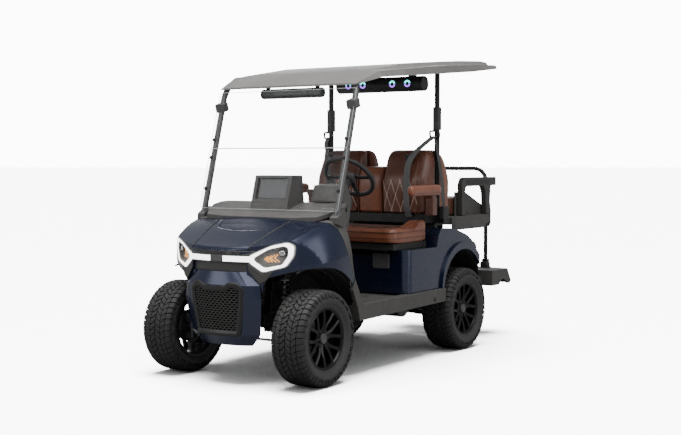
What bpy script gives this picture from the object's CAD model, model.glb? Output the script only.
"""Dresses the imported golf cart: painted body, moulded trim, tyres, lamps, stitched seats and belts."""

import logging
import math
from dataclasses import dataclass, field
from enum import Enum
from typing import Any, Iterable, Sequence

import bmesh
import bpy
import numpy as np
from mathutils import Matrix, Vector


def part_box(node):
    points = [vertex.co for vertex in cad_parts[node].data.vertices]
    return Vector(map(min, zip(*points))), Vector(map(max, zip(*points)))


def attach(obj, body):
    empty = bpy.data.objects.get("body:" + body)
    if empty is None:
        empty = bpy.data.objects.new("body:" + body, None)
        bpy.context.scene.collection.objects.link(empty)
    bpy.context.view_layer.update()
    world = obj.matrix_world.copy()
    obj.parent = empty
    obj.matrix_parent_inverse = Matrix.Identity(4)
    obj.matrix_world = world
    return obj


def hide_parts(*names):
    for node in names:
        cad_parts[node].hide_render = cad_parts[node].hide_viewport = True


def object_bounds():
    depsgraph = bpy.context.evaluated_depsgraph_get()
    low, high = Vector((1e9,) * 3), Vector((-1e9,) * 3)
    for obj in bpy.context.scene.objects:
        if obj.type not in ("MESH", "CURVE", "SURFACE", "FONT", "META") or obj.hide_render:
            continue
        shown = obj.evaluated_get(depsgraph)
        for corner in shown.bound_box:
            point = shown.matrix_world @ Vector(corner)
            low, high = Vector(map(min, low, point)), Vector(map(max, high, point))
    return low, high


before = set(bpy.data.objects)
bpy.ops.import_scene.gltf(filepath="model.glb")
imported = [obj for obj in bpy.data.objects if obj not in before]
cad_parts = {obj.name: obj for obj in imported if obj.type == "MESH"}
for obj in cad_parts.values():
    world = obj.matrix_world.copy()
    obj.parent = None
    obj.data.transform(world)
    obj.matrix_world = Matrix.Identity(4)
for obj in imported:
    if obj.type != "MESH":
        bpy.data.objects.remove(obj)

LOG = logging.getLogger("golf_cart")
Array = np.ndarray
Point = tuple[float, float, float]
Tone = tuple[float, float, float]
Outline = tuple[tuple[float, float], ...]
MM = 0.001
CAD_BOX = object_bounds()

# ---------------------------------------------------------------- places shared with the frame
FRONT_TYRE, REAR_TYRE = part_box("tyre_front_left"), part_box("tyre_rear_left")
FRONT_AXLE = (FRONT_TYRE[0].y + FRONT_TYRE[1].y) / 2
REAR_AXLE = (REAR_TYRE[0].y + REAR_TYRE[1].y) / 2
AXLE_Z = (REAR_TYRE[0].z + REAR_TYRE[1].z) / 2
HALF_TRACK = (REAR_TYRE[0].x + REAR_TYRE[1].x) / 2
TYRE_R = REAR_TYRE[1].z - AXLE_Z
SIDES = {"left": 1.0, "right": -1.0}


# ---------------------------------------------------------------- lines
def smooth_line(points: Sequence[Sequence[float]], count: int) -> Array:
    """Points evenly spaced along a Catmull-Rom curve through the given points.

    Between two points the curve is the cubic whose slope at each point is half the step from the
    point before it to the point after it.

    Args:
        points: what the curve runs through.
        count: how many points come back.

    Returns:
        An array of shape (count, dimensions).
    """
    p = np.array(points, float)
    padded = np.vstack([2 * p[:1] - p[1:2], p, 2 * p[-1:] - p[-2:-1]])
    spans = len(p) - 1
    fine = np.linspace(0, spans, spans * 16 + 1)
    i = np.minimum(fine.astype(int), spans - 1)
    t = (fine - i)[:, None]
    a, b, c, d = (padded[i + k] for k in range(4))
    curve = 0.5 * (2 * b + (c - a) * t + (2 * a - 5 * b + 4 * c - d) * t**2 + (3 * b - a - 3 * c + d) * t**3)
    return even_line(curve, count)


def even_line(points: Array, count: int, closed: bool = False) -> Array:
    """Points evenly spaced by length along a polyline.

    Args:
        points: its corners; a closed line repeats its first.
        count: how many points come back.
        closed: whether the last of them is left out because it would repeat the first.

    Returns:
        An array of shape (count, dimensions).
    """
    p = np.array(points, float)
    run = length_along(p)
    at = np.linspace(0, run[-1], count + 1)[:-1] if closed else np.linspace(0, run[-1], count)
    return np.stack([np.interp(at, run, p[:, k]) for k in range(p.shape[1])], axis=1)


def even_loop(outline: Sequence[Sequence[float]], count: int) -> Array:
    """Points evenly spaced round a closed outline, of shape (count, 2)."""
    return even_line(np.vstack([outline, outline[:1]]), count, closed=True)


def length_along(line: Array) -> Array:
    """Length of a polyline up to each of its points."""
    return np.concatenate([[0], np.cumsum(np.linalg.norm(np.diff(line, axis=0), axis=1))])


def rounded(corners: Sequence[Sequence[float]], radius: float, steps: int = 4) -> Array:
    """Closed outline whose corners are rounded by quadratic curves.

    Each corner gives way to a curve from a point one radius before it to a point one radius after
    it, or to the middle of a short side, with the corner as its control point.

    Args:
        corners: the outline's corners, in order.
        radius: distance from a corner to the start of its curve.
        steps: spans of each curve.

    Returns:
        An array of shape (corners * (steps + 1), 2).
    """
    p = np.array(corners, float)
    before, after = np.roll(p, 1, axis=0) - p, np.roll(p, -1, axis=0) - p
    reach = [np.minimum(radius, 0.48 * np.linalg.norm(v, axis=1))[:, None] for v in (before, after)]
    start = p + before / np.linalg.norm(before, axis=1)[:, None] * reach[0]
    end = p + after / np.linalg.norm(after, axis=1)[:, None] * reach[1]
    t = np.linspace(0, 1, steps + 1)[None, :, None]
    arcs = (1 - t) ** 2 * start[:, None] + 2 * t * (1 - t) * p[:, None] + t**2 * end[:, None]
    return arcs.reshape(-1, 2)


def drawn_in(outline: Array, distance: float) -> Array:
    """A closed outline moved inwards along the mean normal of its sides.

    Args:
        outline: points in order, shape (n, 2).
        distance: how far each side moves in; a negative distance moves it out.

    Returns:
        As many points as the outline has.
    """
    p = np.array(outline, float)
    step = np.roll(p, -1, axis=0) - p
    area = np.sum(p[:, 0] * np.roll(p[:, 1], -1) - p[:, 1] * np.roll(p[:, 0], -1))
    normal = np.stack([-step[:, 1], step[:, 0]], axis=1) * np.sign(area)
    normal /= np.maximum(np.linalg.norm(normal, axis=1), 1e-12)[:, None]
    mean = normal + np.roll(normal, 1, axis=0)
    mean /= np.maximum(np.sum(mean * normal, axis=1), 0.5)[:, None]
    return p + mean * distance


def circle(radius: float, sides: int) -> Array:
    """Corners of a regular polygon, anticlockwise, of shape (sides, 2)."""
    turn = np.linspace(0, 2 * np.pi, sides, endpoint=False)
    return radius * np.stack([np.cos(turn), np.sin(turn)], axis=1)


def box_outline(half: float, low: float, high: float) -> Outline:
    """Corners of an upright rectangle about the middle, anticlockwise from its lower left.

    Args:
        half: half its width.
        low, high: its lower and upper edges.

    Returns:
        The four corners.
    """
    return ((-half, low), (half, low), (half, high), (-half, high))


def oblong(width: float, height: float, radius: float, steps: int = 3) -> Array:
    """A rectangle about the origin with rounded corners, anticlockwise.

    Args:
        width, height: its size.
        radius, steps: rounding of its corners, as rounded takes them.

    Returns:
        An array of shape (4 * (steps + 1), 2).
    """
    w, h = width / 2, height / 2
    return rounded([(w, -h), (w, h), (-w, h), (-w, -h)], radius, steps)


def placed(outline: Array, axis: int, level: Array | float) -> Array:
    """A flat outline set in space.

    Args:
        outline: shape (n, 2); its two axes are the ones that axis leaves, in order.
        axis: 0, 1 or 2, what the level is along.
        level: one value, or one for each point.

    Returns:
        An array of shape (n, 3).
    """
    return np.insert(outline, axis, level, axis=1)


def xyz(*axes: Array | float) -> Array:
    """Points from their coordinates, each an array or one value for all."""
    return np.stack(np.broadcast_arrays(*axes), axis=-1)


def eased(share: Array) -> Array:
    """Smooth step from 0 to 1: 3 times the share squared less twice its cube."""
    return share**2 * (3 - 2 * share)


def rolled(way: Array, length: float, limit: float = 1.0) -> Array:
    """How far a rounded edge has fallen, from 1 at the edge to 0 at a length inside it.

    It is 1 less the root of 1 minus the square of what is left of the length, as a share of it.

    Args:
        way: distance inside the edge.
        length: where the rounding ends.
        limit: greatest share that is squared.

    Returns:
        The fall, of the shape of way.
    """
    left = np.minimum(1 - np.clip(way / length, 0, 1), limit)
    return 1 - np.sqrt(1 - left**2)


# ---------------------------------------------------------------- surfaces
@dataclass
class Shape:
    """Points and faces of a mesh before it becomes an object."""

    points: Array
    faces: list[Sequence[int]]

    def __add__(self, other: "Shape") -> "Shape":
        """Both shapes in one, side by side."""
        shift = len(self.points)
        moved = [tuple(i + shift for i in face) for face in other.faces]
        return Shape(np.vstack([self.points, other.points]), list(self.faces) + moved)

    def mirrored(self) -> "Shape":
        """The same shape across the cart's middle plane, with its faces turned to stay outwards."""
        return Shape(self.points * [-1, 1, 1], [tuple(reversed(face)) for face in self.faces])

    def both_sides(self) -> "Shape":
        """The shape and its mirror image."""
        return self + self.mirrored()


def joined(shapes: Iterable[Shape]) -> Shape:
    """All the shapes in one, in order."""
    first, *rest = shapes
    for shape in rest:
        first = first + shape
    return first


def skin(grid: Array, close_rows: bool = False, close_columns: bool = False, caps: bool = False) -> Shape:
    """Surface through a grid of points, one quad for each cell.

    Args:
        grid: shape (rows, columns, 3).
        close_rows, close_columns: whether the grid closes on itself.
        caps: whether the first and last rows are filled, as at the ends of a bar.

    Returns:
        The shape.
    """
    rows, columns = grid.shape[:2]
    i = np.arange(rows if close_rows else rows - 1)[:, None]
    j = np.arange(columns if close_columns else columns - 1)[None, :]
    i2, j2 = (i + 1) % rows, (j + 1) % columns
    quads = np.stack([i * columns + j, i * columns + j2, i2 * columns + j2, i2 * columns + j], axis=-1)
    faces = [tuple(f) for f in quads.reshape(-1, 4).tolist()]
    if caps:
        faces.append(tuple(range(columns))[::-1])
        faces.append(tuple(range((rows - 1) * columns, rows * columns)))
    return Shape(grid.reshape(-1, 3), faces)


def solid(rings: Sequence[Array]) -> Shape:
    """A solid through closed outlines of as many points as each other, with its ends filled."""
    return skin(np.stack(rings), close_columns=True, caps=True)


def lofted(xs: Array, sections: Array) -> Shape:
    """A solid through closed sections in Y and Z, of shape (stations, points, 2), one at each X."""
    return solid([placed(section, 0, x) for x, section in zip(xs, sections)])


def repeated(grids: Array, **how: bool) -> Shape:
    """Many surfaces of one pattern.

    Args:
        grids: shape (copies, rows, columns, 3).
        how: what skin is told.

    Returns:
        All the copies in one shape.
    """
    one = skin(grids[0], **how)
    count = len(one.points)
    faces = [tuple(i + k * count for i in face) for k in range(len(grids)) for face in one.faces]
    return Shape(grids.reshape(-1, 3), faces)


def carried(path: Array, profile: Array, up: Sequence[float] = (0, 0, 1), closed: bool = False) -> Shape:
    """A closed profile carried along a path.

    At each point of the path the profile's first axis lies along the path's direction crossed with
    up, and its second along what is square to both.

    Args:
        path: shape (n, 3).
        profile: shape (m, 2), or (n, m, 2) where it changes along the path.
        up: direction that the profile's second axis keeps nearest to.
        closed: whether the path is a ring.

    Returns:
        The swept shape, with its ends filled if the path is open.
    """
    path = np.asarray(path, float)
    if closed:
        ahead = np.roll(path, -1, axis=0) - np.roll(path, 1, axis=0)
    else:
        ahead = np.gradient(path, axis=0)
    ahead /= np.linalg.norm(ahead, axis=1)[:, None]
    wide = np.cross(ahead, np.broadcast_to(np.array(up, float), ahead.shape))
    wide /= np.maximum(np.linalg.norm(wide, axis=1), 1e-9)[:, None]
    high = np.cross(wide, ahead)
    section = np.broadcast_to(profile, (len(path),) + np.shape(profile)[-2:])
    grid = path[:, None] + section[..., :1] * wide[:, None] + section[..., 1:] * high[:, None]
    return skin(grid, close_rows=closed, close_columns=True, caps=not closed)


def turned(profile: Sequence[Sequence[float]], centre: Sequence[float], side: float, sides: int) -> Shape:
    """A profile turned about a line parallel to X.

    A point with offset u and radius r goes to side times u along X from the centre, on a circle of
    radius r about it.

    Args:
        profile: (offset, radius) pairs, closed.
        centre: middle of the turned shape.
        side: 1 or -1, the way that positive offsets point.
        sides: spans round the circle.

    Returns:
        The closed ring.
    """
    p = np.array(profile, float)
    turn = np.linspace(0, 2 * np.pi, sides, endpoint=False)[:, None]
    x = np.broadcast_to(side * p[None, :, 0], (sides, len(p)))
    grid = np.stack([x, p[None, :, 1] * np.cos(turn), p[None, :, 1] * np.sin(turn)], axis=-1) + np.array(centre)
    made = skin(grid, close_rows=True, close_columns=True)
    return made if side > 0 else Shape(made.points, [tuple(reversed(f)) for f in made.faces])


# ---------------------------------------------------------------- objects
class Edge(Enum):
    """How the edges of a piece are finished."""

    SHARP = "sharp"
    SMOOTH = "smooth"
    BEVELLED = "bevelled"
    SUBDIVIDED = "subdivided"


@dataclass(frozen=True)
class Rounding:
    """Rounding of the edges of a piece: how, how wide, in how many steps and past which angle."""

    kind: Edge = Edge.BEVELLED
    width: float = 1.5 * MM
    steps: int = 2
    past: float = 30.0

    def settle(self, obj: bpy.types.Object) -> None:
        """Give a mesh object this edge finish."""
        obj.data.shade_smooth()
        if self.kind in (Edge.SHARP, Edge.BEVELLED):
            obj.data.set_sharp_from_angle(angle=math.radians(self.past))
        if self.kind is Edge.BEVELLED:
            bevel = add_modifier(obj, "edge", "BEVEL", width=self.width, segments=self.steps, limit_method="ANGLE")
            bevel.angle_limit = math.radians(self.past)
            bevel.harden_normals = True
            bevel.use_clamp_overlap = True
        if self.kind is Edge.SUBDIVIDED:
            add_modifier(obj, "subdivision", "SUBSURF", levels=self.steps, render_levels=self.steps)


SHARP, SMOOTH = Rounding(Edge.SHARP), Rounding(Edge.SMOOTH)


def add_modifier(obj: bpy.types.Object, name: str, kind: str, **settings: Any) -> bpy.types.Modifier:
    """A new modifier on an object.

    Args:
        obj: what it is put on.
        name: what it is called.
        kind: Blender's name for its type.
        settings: its own properties.

    Returns:
        The modifier.
    """
    made = obj.modifiers.new(name, kind)
    for key, value in settings.items():
        setattr(made, key, value)
    return made


def linked(name: str, data: bpy.types.ID) -> bpy.types.Object:
    """A new object of some data, in the scene."""
    obj = bpy.data.objects.new(name, data)
    bpy.context.scene.collection.objects.link(obj)
    return obj


def object_of(name: str, shape: Shape, rounding: Rounding = SHARP) -> bpy.types.Object:
    """A new object of a shape, its faces turned outwards.

    Args:
        name: what the piece is called.
        shape: its points and faces.
        rounding: how its edges are finished.

    Returns:
        The object, linked to the scene.
    """
    mesh = bpy.data.meshes.new(name)
    mesh.from_pydata(shape.points.tolist(), [], [tuple(f) for f in shape.faces])
    tidy = bmesh.new()
    tidy.from_mesh(mesh)
    bmesh.ops.recalc_face_normals(tidy, faces=tidy.faces)
    tidy.to_mesh(mesh)
    tidy.free()
    obj = linked(name, mesh)
    rounding.settle(obj)
    return obj


def node_copy(name: str, node: str, rounding: Rounding) -> bpy.types.Object:
    """A merged copy of a frame node, with flat faces joined so that its edges can be rounded.

    Args:
        name: what the piece is called.
        node: the frame node that it follows.
        rounding: how its edges are finished.

    Returns:
        The object; the frame node is no longer shown.
    """
    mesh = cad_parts[node].data.copy()
    mesh.name = name
    mesh.materials.clear()
    tidy = bmesh.new()
    tidy.from_mesh(mesh)
    bmesh.ops.remove_doubles(tidy, verts=tidy.verts, dist=0.01 * MM)
    bmesh.ops.dissolve_limit(tidy, angle_limit=math.radians(0.4), verts=tidy.verts, edges=tidy.edges)
    tidy.to_mesh(mesh)
    tidy.free()
    for layer in [a.name for a in mesh.attributes if a.name.startswith("custom_normal")]:
        mesh.attributes.remove(mesh.attributes[layer])
    obj = linked(name, mesh)
    rounding.settle(obj)
    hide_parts(node)
    return obj


# ---------------------------------------------------------------- node graphs
@dataclass
class Graph:
    """A node tree with short calls for making and joining its nodes."""

    tree: bpy.types.NodeTree

    def feed(self, node: bpy.types.Node, inputs: dict[Any, Any]) -> bpy.types.Node:
        """Set a value, or join an output, for each input of a node by its name or number."""
        for key, value in inputs.items():
            socket = node.inputs[key]
            if isinstance(value, bpy.types.NodeSocket):
                self.tree.links.new(value, socket)
            else:
                socket.default_value = value
        return node

    def node(self, kind: str, inputs: dict[Any, Any] | None = None, **settings: Any) -> bpy.types.Node:
        """Make one node.

        Args:
            kind: the node's type, without ShaderNode in front.
            inputs: what its inputs are fed.
            settings: the node's own properties.

        Returns:
            The node.
        """
        made = self.tree.nodes.new(kind if kind.startswith("Node") else "ShaderNode" + kind)
        for key, value in settings.items():
            setattr(made, key, value)
        return self.feed(made, inputs or {})

    def place(self) -> bpy.types.NodeSocket:
        """Object coordinates."""
        return self.node("TexCoord").outputs["Object"]

    def parts(self, vector: bpy.types.NodeSocket) -> bpy.types.bpy_prop_collection:
        """X, Y and Z of a vector."""
        return self.node("SeparateXYZ", {0: vector}).outputs

    def math(self, operation: str, a: Any, b: Any = 0.0, c: Any = 0.0) -> bpy.types.NodeSocket:
        """Output of a Math node.

        Args:
            operation: Blender's name for what it does.
            a, b, c: what it is fed.

        Returns:
            The result.
        """
        return self.node("Math", {0: a, 1: b, 2: c}, operation=operation).outputs[0]

    def times(self, a: Any, b: Any) -> bpy.types.NodeSocket:
        """Product of two values."""
        return self.math("MULTIPLY", a, b)

    def span(self, value: Any, low: float, high: float, to_low: float, to_high: float) -> bpy.types.NodeSocket:
        """A value mapped from one range to another, and kept inside it.

        Args:
            value: what is mapped.
            low, high: the range that it comes from.
            to_low, to_high: the range that it goes to.

        Returns:
            The mapped value.
        """
        return self.node("MapRange", {0: value, 1: low, 2: high, 3: to_low, 4: to_high}).outputs[0]

    def mix(self, share: Any, a: Any, b: Any) -> bpy.types.NodeSocket:
        """Colour between two colours.

        Args:
            share: 0 for the first and 1 for the second.
            a, b: the colours.

        Returns:
            The mixed colour.
        """
        return self.node("Mix", {0: share, 6: a, 7: b}, data_type="RGBA").outputs[2]

    def noise(self, vector: Any, scale: Any, detail: float = 3.0) -> bpy.types.NodeSocket:
        """Value of a noise texture.

        Args:
            vector: where it is read.
            scale: how fine it is.
            detail: how many finer layers it has.

        Returns:
            The noise.
        """
        return self.node("TexNoise", {"Vector": vector, "Scale": scale, "Detail": detail}).outputs[0]

    def bump(self, strength: float, distance: float, height: Any) -> bpy.types.NodeSocket:
        """Normal bent by a height.

        Args:
            strength: share of the bend that is used.
            distance: height in metres of a value of 1.
            height: what bends it.

        Returns:
            The normal.
        """
        return self.node("Bump", {"Strength": strength, "Distance": distance, "Height": height}).outputs[0]

    def group(self, tree: bpy.types.NodeTree, **inputs: float) -> bpy.types.bpy_prop_collection:
        """Outputs of a shader node group placed with its own values."""
        return self.node("Group", inputs, node_tree=tree).outputs


def colour(base: Tone, share: float = 1.0) -> tuple[float, float, float, float]:
    """A linear colour with full opacity, lightened or darkened by a share."""
    return (*(c * share for c in base), 1.0)


def new_group(name: str, inputs: dict[str, float], outputs: Sequence[str]) -> tuple[Graph, Any, Any]:
    """An empty shader node group with its sockets.

    Args:
        name: the group's name.
        inputs: a default value for each input value.
        outputs: names of the output values.

    Returns:
        Its graph, the outputs of its input node, and its output node.
    """
    tree = bpy.data.node_groups.new(name, "ShaderNodeTree")
    for key, value in inputs.items():
        socket = tree.interface.new_socket(key, in_out="INPUT", socket_type="NodeSocketFloat")
        socket.default_value = value
    for key in outputs:
        tree.interface.new_socket(key, in_out="OUTPUT", socket_type="NodeSocketFloat")
    g = Graph(tree)
    return g, g.node("NodeGroupInput").outputs, g.node("NodeGroupOutput")


def grain_group() -> bpy.types.NodeTree:
    """Moulded grain: rounded pips of a cell texture over soft noise, with slow patches of tone.

    Returns:
        A group with Size in pips for each metre, and outputs Height and Tone.
    """
    g, given, out = new_group("moulded_grain", {"Size": 700.0}, ("Height", "Tone"))
    at = g.place()
    cells = g.node("TexVoronoi", {"Vector": at, "Scale": given["Size"]}).outputs["Distance"]
    soft = g.noise(at, g.times(given["Size"], 0.4))
    height = g.math("MULTIPLY_ADD", g.span(cells, 0.0, 0.7, 1.0, 0.0), 0.6, g.times(soft, 0.4))
    g.feed(out, {"Height": height, "Tone": g.noise(at, 7.0, 4.0)})
    return g.tree


def hide_group() -> bpy.types.NodeTree:
    """Leather: a net of fine creases round flat cells, and slow patches of tone.

    Returns:
        A group with Size in cells for each metre, and outputs Height and Tone.
    """
    g, given, out = new_group("hide", {"Size": 420.0}, ("Height", "Tone"))
    at = g.place()
    bent = g.node("TexNoise", {"Vector": at, "Scale": 60.0}).outputs[1]
    shaken = g.node("MixRGB", {"Fac": 0.012, "Color1": at, "Color2": bent}, blend_type="ADD").outputs[0]
    net = g.node("TexVoronoi", {"Vector": shaken, "Scale": given["Size"]}, feature="DISTANCE_TO_EDGE")
    broad, fine = g.noise(at, 9.0, 5.0), g.noise(at, 130.0, 2.0)
    g.feed(out, {"Height": g.span(net.outputs["Distance"], 0.0, 0.16, 0.0, 1.0),
                 "Tone": g.math("MULTIPLY_ADD", fine, 0.3, g.times(broad, 0.7))})
    return g.tree


def dust_group() -> bpy.types.NodeTree:
    """Dust: more on faces that look up, broken by noise.

    Returns:
        A group with Amount, and output Mask.
    """
    g, given, out = new_group("dust", {"Amount": 0.3}, ("Mask",))
    up = g.parts(g.node("NewGeometry").outputs["Normal"])[2]
    patches = g.span(g.noise(g.place(), 26.0, 6.0), 0.35, 0.7, 0.0, 1.0)
    broken = g.times(g.span(up, -0.2, 1.0, 0.25, 1.0), patches)
    g.feed(out, {"Mask": g.times(broken, given["Amount"])})
    return g.tree


def quilt_group() -> bpy.types.NodeTree:
    """Diamond stitching in X and Z: two families of slanted lines, cut into stitches.

    Returns:
        A group with Width and Height of a diamond, Left and Low of its first corner and Thread
        width, and output Thread.
    """
    g, given, out = new_group(
        "quilt", {"Width": 0.06, "Height": 0.15, "Left": 0.0, "Low": 0.0, "Thread": 0.0022}, ("Thread",))
    at = g.parts(g.place())
    across = g.math("DIVIDE", g.math("SUBTRACT", at[0], given["Left"]), given["Width"])
    along = g.math("DIVIDE", g.math("SUBTRACT", at[2], given["Low"]), given["Height"])
    near = [g.times(g.math("PINGPONG", g.math("MULTIPLY_ADD", along, sign, across), 0.5), given["Width"])
            for sign in (1.0, -1.0)]
    line = g.math("LESS_THAN", g.math("MINIMUM", *near), given["Thread"])
    stitch = g.math("GREATER_THAN", g.math("FRACT", g.times(at[2], 120.0)), 0.25)
    g.feed(out, {"Thread": g.times(line, stitch)})
    return g.tree


@dataclass
class Groups:
    """The shader node groups, built once."""

    grain: bpy.types.NodeTree = field(default_factory=grain_group)
    hide: bpy.types.NodeTree = field(default_factory=hide_group)
    dust: bpy.types.NodeTree = field(default_factory=dust_group)
    quilt: bpy.types.NodeTree = field(default_factory=quilt_group)


# ---------------------------------------------------------------- materials
@dataclass(frozen=True)
class Finish:
    """What every material has: a name, a colour, and the Principled inputs that it works out."""

    name: str
    base: Tone

    def inputs(self, g: Graph, groups: Groups) -> dict[str, Any]:
        """What the Principled shader's inputs are fed.

        Args:
            g: the material's graph.
            groups: the shader node groups.

        Returns:
            A value or an output for each input by name.
        """
        raise NotImplementedError

    def make(self, groups: Groups) -> bpy.types.Material:
        """The material, with its shader joined to its output."""
        material = bpy.data.materials.new(self.name)
        material.use_nodes = True
        material.node_tree.nodes.clear()
        g = Graph(material.node_tree)
        shader = g.node("BsdfPrincipled")
        g.node("OutputMaterial", {"Surface": shader.outputs[0]})
        g.feed(shader, self.inputs(g, groups))
        return material


@dataclass(frozen=True)
class Paint(Finish):
    """Satin metallic body paint: two close tones of flake under a clear coat."""

    light: Tone = (0.0085, 0.019, 0.066)
    roughness: float = 0.26
    metallic: float = 0.6
    coat: float = 0.75
    coat_roughness: float = 0.2
    dust: float = 0.02
    dust_tone: Tone = (0.3, 0.29, 0.27)
    flakes: float = 2400.0  # for each metre
    flake_share: float = 0.8
    haze: float = 0.08

    def inputs(self, g: Graph, groups: Groups) -> dict[str, Any]:
        """Flake for tone and bump, soft noise for roughness, and a clear coat."""
        at = g.place()
        flake = g.node("TexVoronoi", {"Vector": at, "Scale": self.flakes}).outputs["Color"]
        speck = g.node("SeparateColor", {0: flake}).outputs[0]
        tone = g.mix(g.times(speck, self.flake_share), colour(self.base), colour(self.light))
        dust = g.group(groups.dust, Amount=self.dust)[0]
        return {"Base Color": g.mix(dust, tone, colour(self.dust_tone)),
                "Roughness": g.math("MULTIPLY_ADD", g.noise(at, 14.0), self.haze, self.roughness - self.haze / 2),
                "Normal": g.bump(0.02, 0.0002, speck), "Metallic": self.metallic, "Coat Weight": self.coat,
                "Coat Roughness": self.coat_roughness}


@dataclass(frozen=True)
class Moulding(Finish):
    """Moulded plastic, rubber or crackle paint with a pressed grain."""

    roughness: float = 0.6
    size: float = 700.0
    depth: float = 0.00025
    dust: float = 0.1
    metallic: float = 0.0
    dust_tone: Tone = (0.25, 0.24, 0.22)
    tones: tuple[float, float] = (0.92, 1.1)
    haze: float = 0.06

    def inputs(self, g: Graph, groups: Groups) -> dict[str, Any]:
        """The grain for tone, roughness and bump, with dust over it."""
        grain = g.group(groups.grain, Size=self.size)
        patches = g.span(grain["Tone"], 0.3, 0.7, 0.0, 1.0)
        tone = g.mix(patches, *(colour(self.base, share) for share in self.tones))
        dust = g.group(groups.dust, Amount=self.dust)[0]
        return {"Base Color": g.mix(dust, tone, colour(self.dust_tone)),
                "Roughness": g.span(grain["Height"], 0.0, 1.0, self.roughness + self.haze, self.roughness - self.haze),
                "Normal": g.bump(0.6, self.depth, grain["Height"]), "Metallic": self.metallic}


@dataclass(frozen=True)
class Leather(Finish):
    """Stitched leather, with or without a quilted field.

    The quilt is a diamond's width, height, left and low corner, and shows inside field_box, which
    is a range of the distance from the middle plane and a range of Z.
    """

    roughness: float = 0.46
    size: float = 420.0
    thread: Tone = (0.6, 0.47, 0.38)
    quilt: tuple[float, float, float, float] | None = None
    field_box: tuple[float, float, float, float] = (0.108, 0.40, 0.946, 1.166)
    tones: tuple[float, float] = (0.72, 1.25)
    haze: float = 0.14
    thread_height: float = 1.5

    def stitches(self, g: Graph, groups: Groups) -> bpy.types.NodeSocket:
        """Mask of the thread: inside the field and on faces that look ahead or back."""
        width, tall, left, low = self.quilt
        thread = g.group(groups.quilt, Width=width, Height=tall, Left=left, Low=low)["Thread"]
        at = g.parts(g.place())
        inside = 1.0
        for value, limits in ((g.math("ABSOLUTE", at[0]), self.field_box[:2]), (at[2], self.field_box[2:])):
            held = g.times(g.math("GREATER_THAN", value, limits[0]), g.math("LESS_THAN", value, limits[1]))
            inside = g.times(held, inside)
        ahead = g.math("ABSOLUTE", g.parts(g.node("NewGeometry").outputs["Normal"])[1])
        return g.times(g.times(thread, inside), g.math("GREATER_THAN", ahead, 0.5))

    def inputs(self, g: Graph, groups: Groups) -> dict[str, Any]:
        """Hide for tone, roughness and bump, with the stitches standing on it."""
        hide = g.group(groups.hide, Size=self.size)
        patches = g.span(hide["Tone"], 0.3, 0.7, 0.0, 1.0)
        tone = g.mix(patches, *(colour(self.base, share) for share in self.tones))
        height = hide["Height"]
        if self.quilt:
            shown = self.stitches(g, groups)
            tone = g.mix(shown, tone, colour(self.thread))
            height = g.math("MULTIPLY_ADD", shown, self.thread_height, height)
        return {"Base Color": tone,
                "Roughness": g.span(hide["Height"], 0.0, 1.0, self.roughness + self.haze, self.roughness),
                "Normal": g.bump(0.35, 0.0004, height), "Sheen Weight": 0.05, "Coat Weight": 0.3,
                "Coat Roughness": 0.3}


@dataclass(frozen=True)
class Metal(Finish):
    """Bare, plated or powder-coated metal with fine scratches."""

    roughness: float = 0.32
    metallic: float = 1.0
    dust: float = 0.1
    dust_tone: Tone = (0.2, 0.19, 0.18)
    scratches: Tone = (40.0, 420.0, 420.0)  # for each metre along X, Y and Z
    haze: float = 0.2

    def inputs(self, g: Graph, groups: Groups) -> dict[str, Any]:
        """Long noise for scratches, with dust over it."""
        long = g.node("Mapping", {"Vector": g.place(), "Scale": self.scratches}).outputs[0]
        scratch = g.noise(long, 6.0, 4.0)
        dust = g.group(groups.dust, Amount=self.dust)[0]
        return {"Base Color": g.mix(dust, colour(self.base), colour(self.dust_tone)),
                "Roughness": g.math("MULTIPLY_ADD", scratch, self.haze, self.roughness - self.haze / 2),
                "Normal": g.bump(0.1, 0.0001, scratch), "Metallic": self.metallic}


@dataclass(frozen=True)
class Glow(Finish):
    """A lit lamp face with slight patches in its light."""

    strength: float = 1.0
    dimmest: float = 0.92

    def inputs(self, g: Graph, groups: Groups) -> dict[str, Any]:
        """Soft noise for the light's tone."""
        soft = g.noise(g.place(), 55.0, 1.0)
        return {"Emission Color": g.mix(soft, colour(self.base), colour(self.base, self.dimmest)),
                "Base Color": colour(self.base), "Emission Strength": self.strength, "Roughness": 0.3}


@dataclass(frozen=True)
class Glass(Finish):
    """Clear sheet: glossy and mostly see-through, with faint smears in its gloss."""

    alpha: float = 1.0
    roughness: float = 0.03
    smears: Tone = (1.0, 3.0, 0.4)  # how much finer along X, Y and Z
    haze: float = 0.04

    def inputs(self, g: Graph, groups: Groups) -> dict[str, Any]:
        """Stretched noise for the smears."""
        smear = g.noise(g.node("Mapping", {"Vector": g.place(), "Scale": self.smears}).outputs[0], 5.0, 5.0)
        return {"Roughness": g.math("MULTIPLY_ADD", smear, self.haze, self.roughness), "Base Color": colour(self.base),
                "Alpha": self.alpha, "Specular IOR Level": 0.6}


@dataclass(frozen=True)
class Webbing(Finish):
    """Woven belt: ribs across UV x and a fine weave along UV y, in metres."""

    ribs: float = 380.0  # for each metre
    weave: float = 800.0
    lightest: float = 1.9

    def inputs(self, g: Graph, groups: Groups) -> dict[str, Any]:
        """Ribs and weave for tone and bump."""
        at = g.parts(g.node("UVMap").outputs[0])
        ribs = g.math("PINGPONG", g.times(at[0], self.ribs), 1.0)
        weave = g.math("PINGPONG", g.times(at[1], self.weave), 1.0)
        height = g.math("MULTIPLY_ADD", ribs, 0.7, g.times(weave, 0.3))
        return {"Base Color": g.mix(height, colour(self.base), colour(self.base, self.lightest)),
                "Normal": g.bump(0.7, 0.0006, height), "Roughness": 0.75, "Sheen Weight": 0.2}


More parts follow.
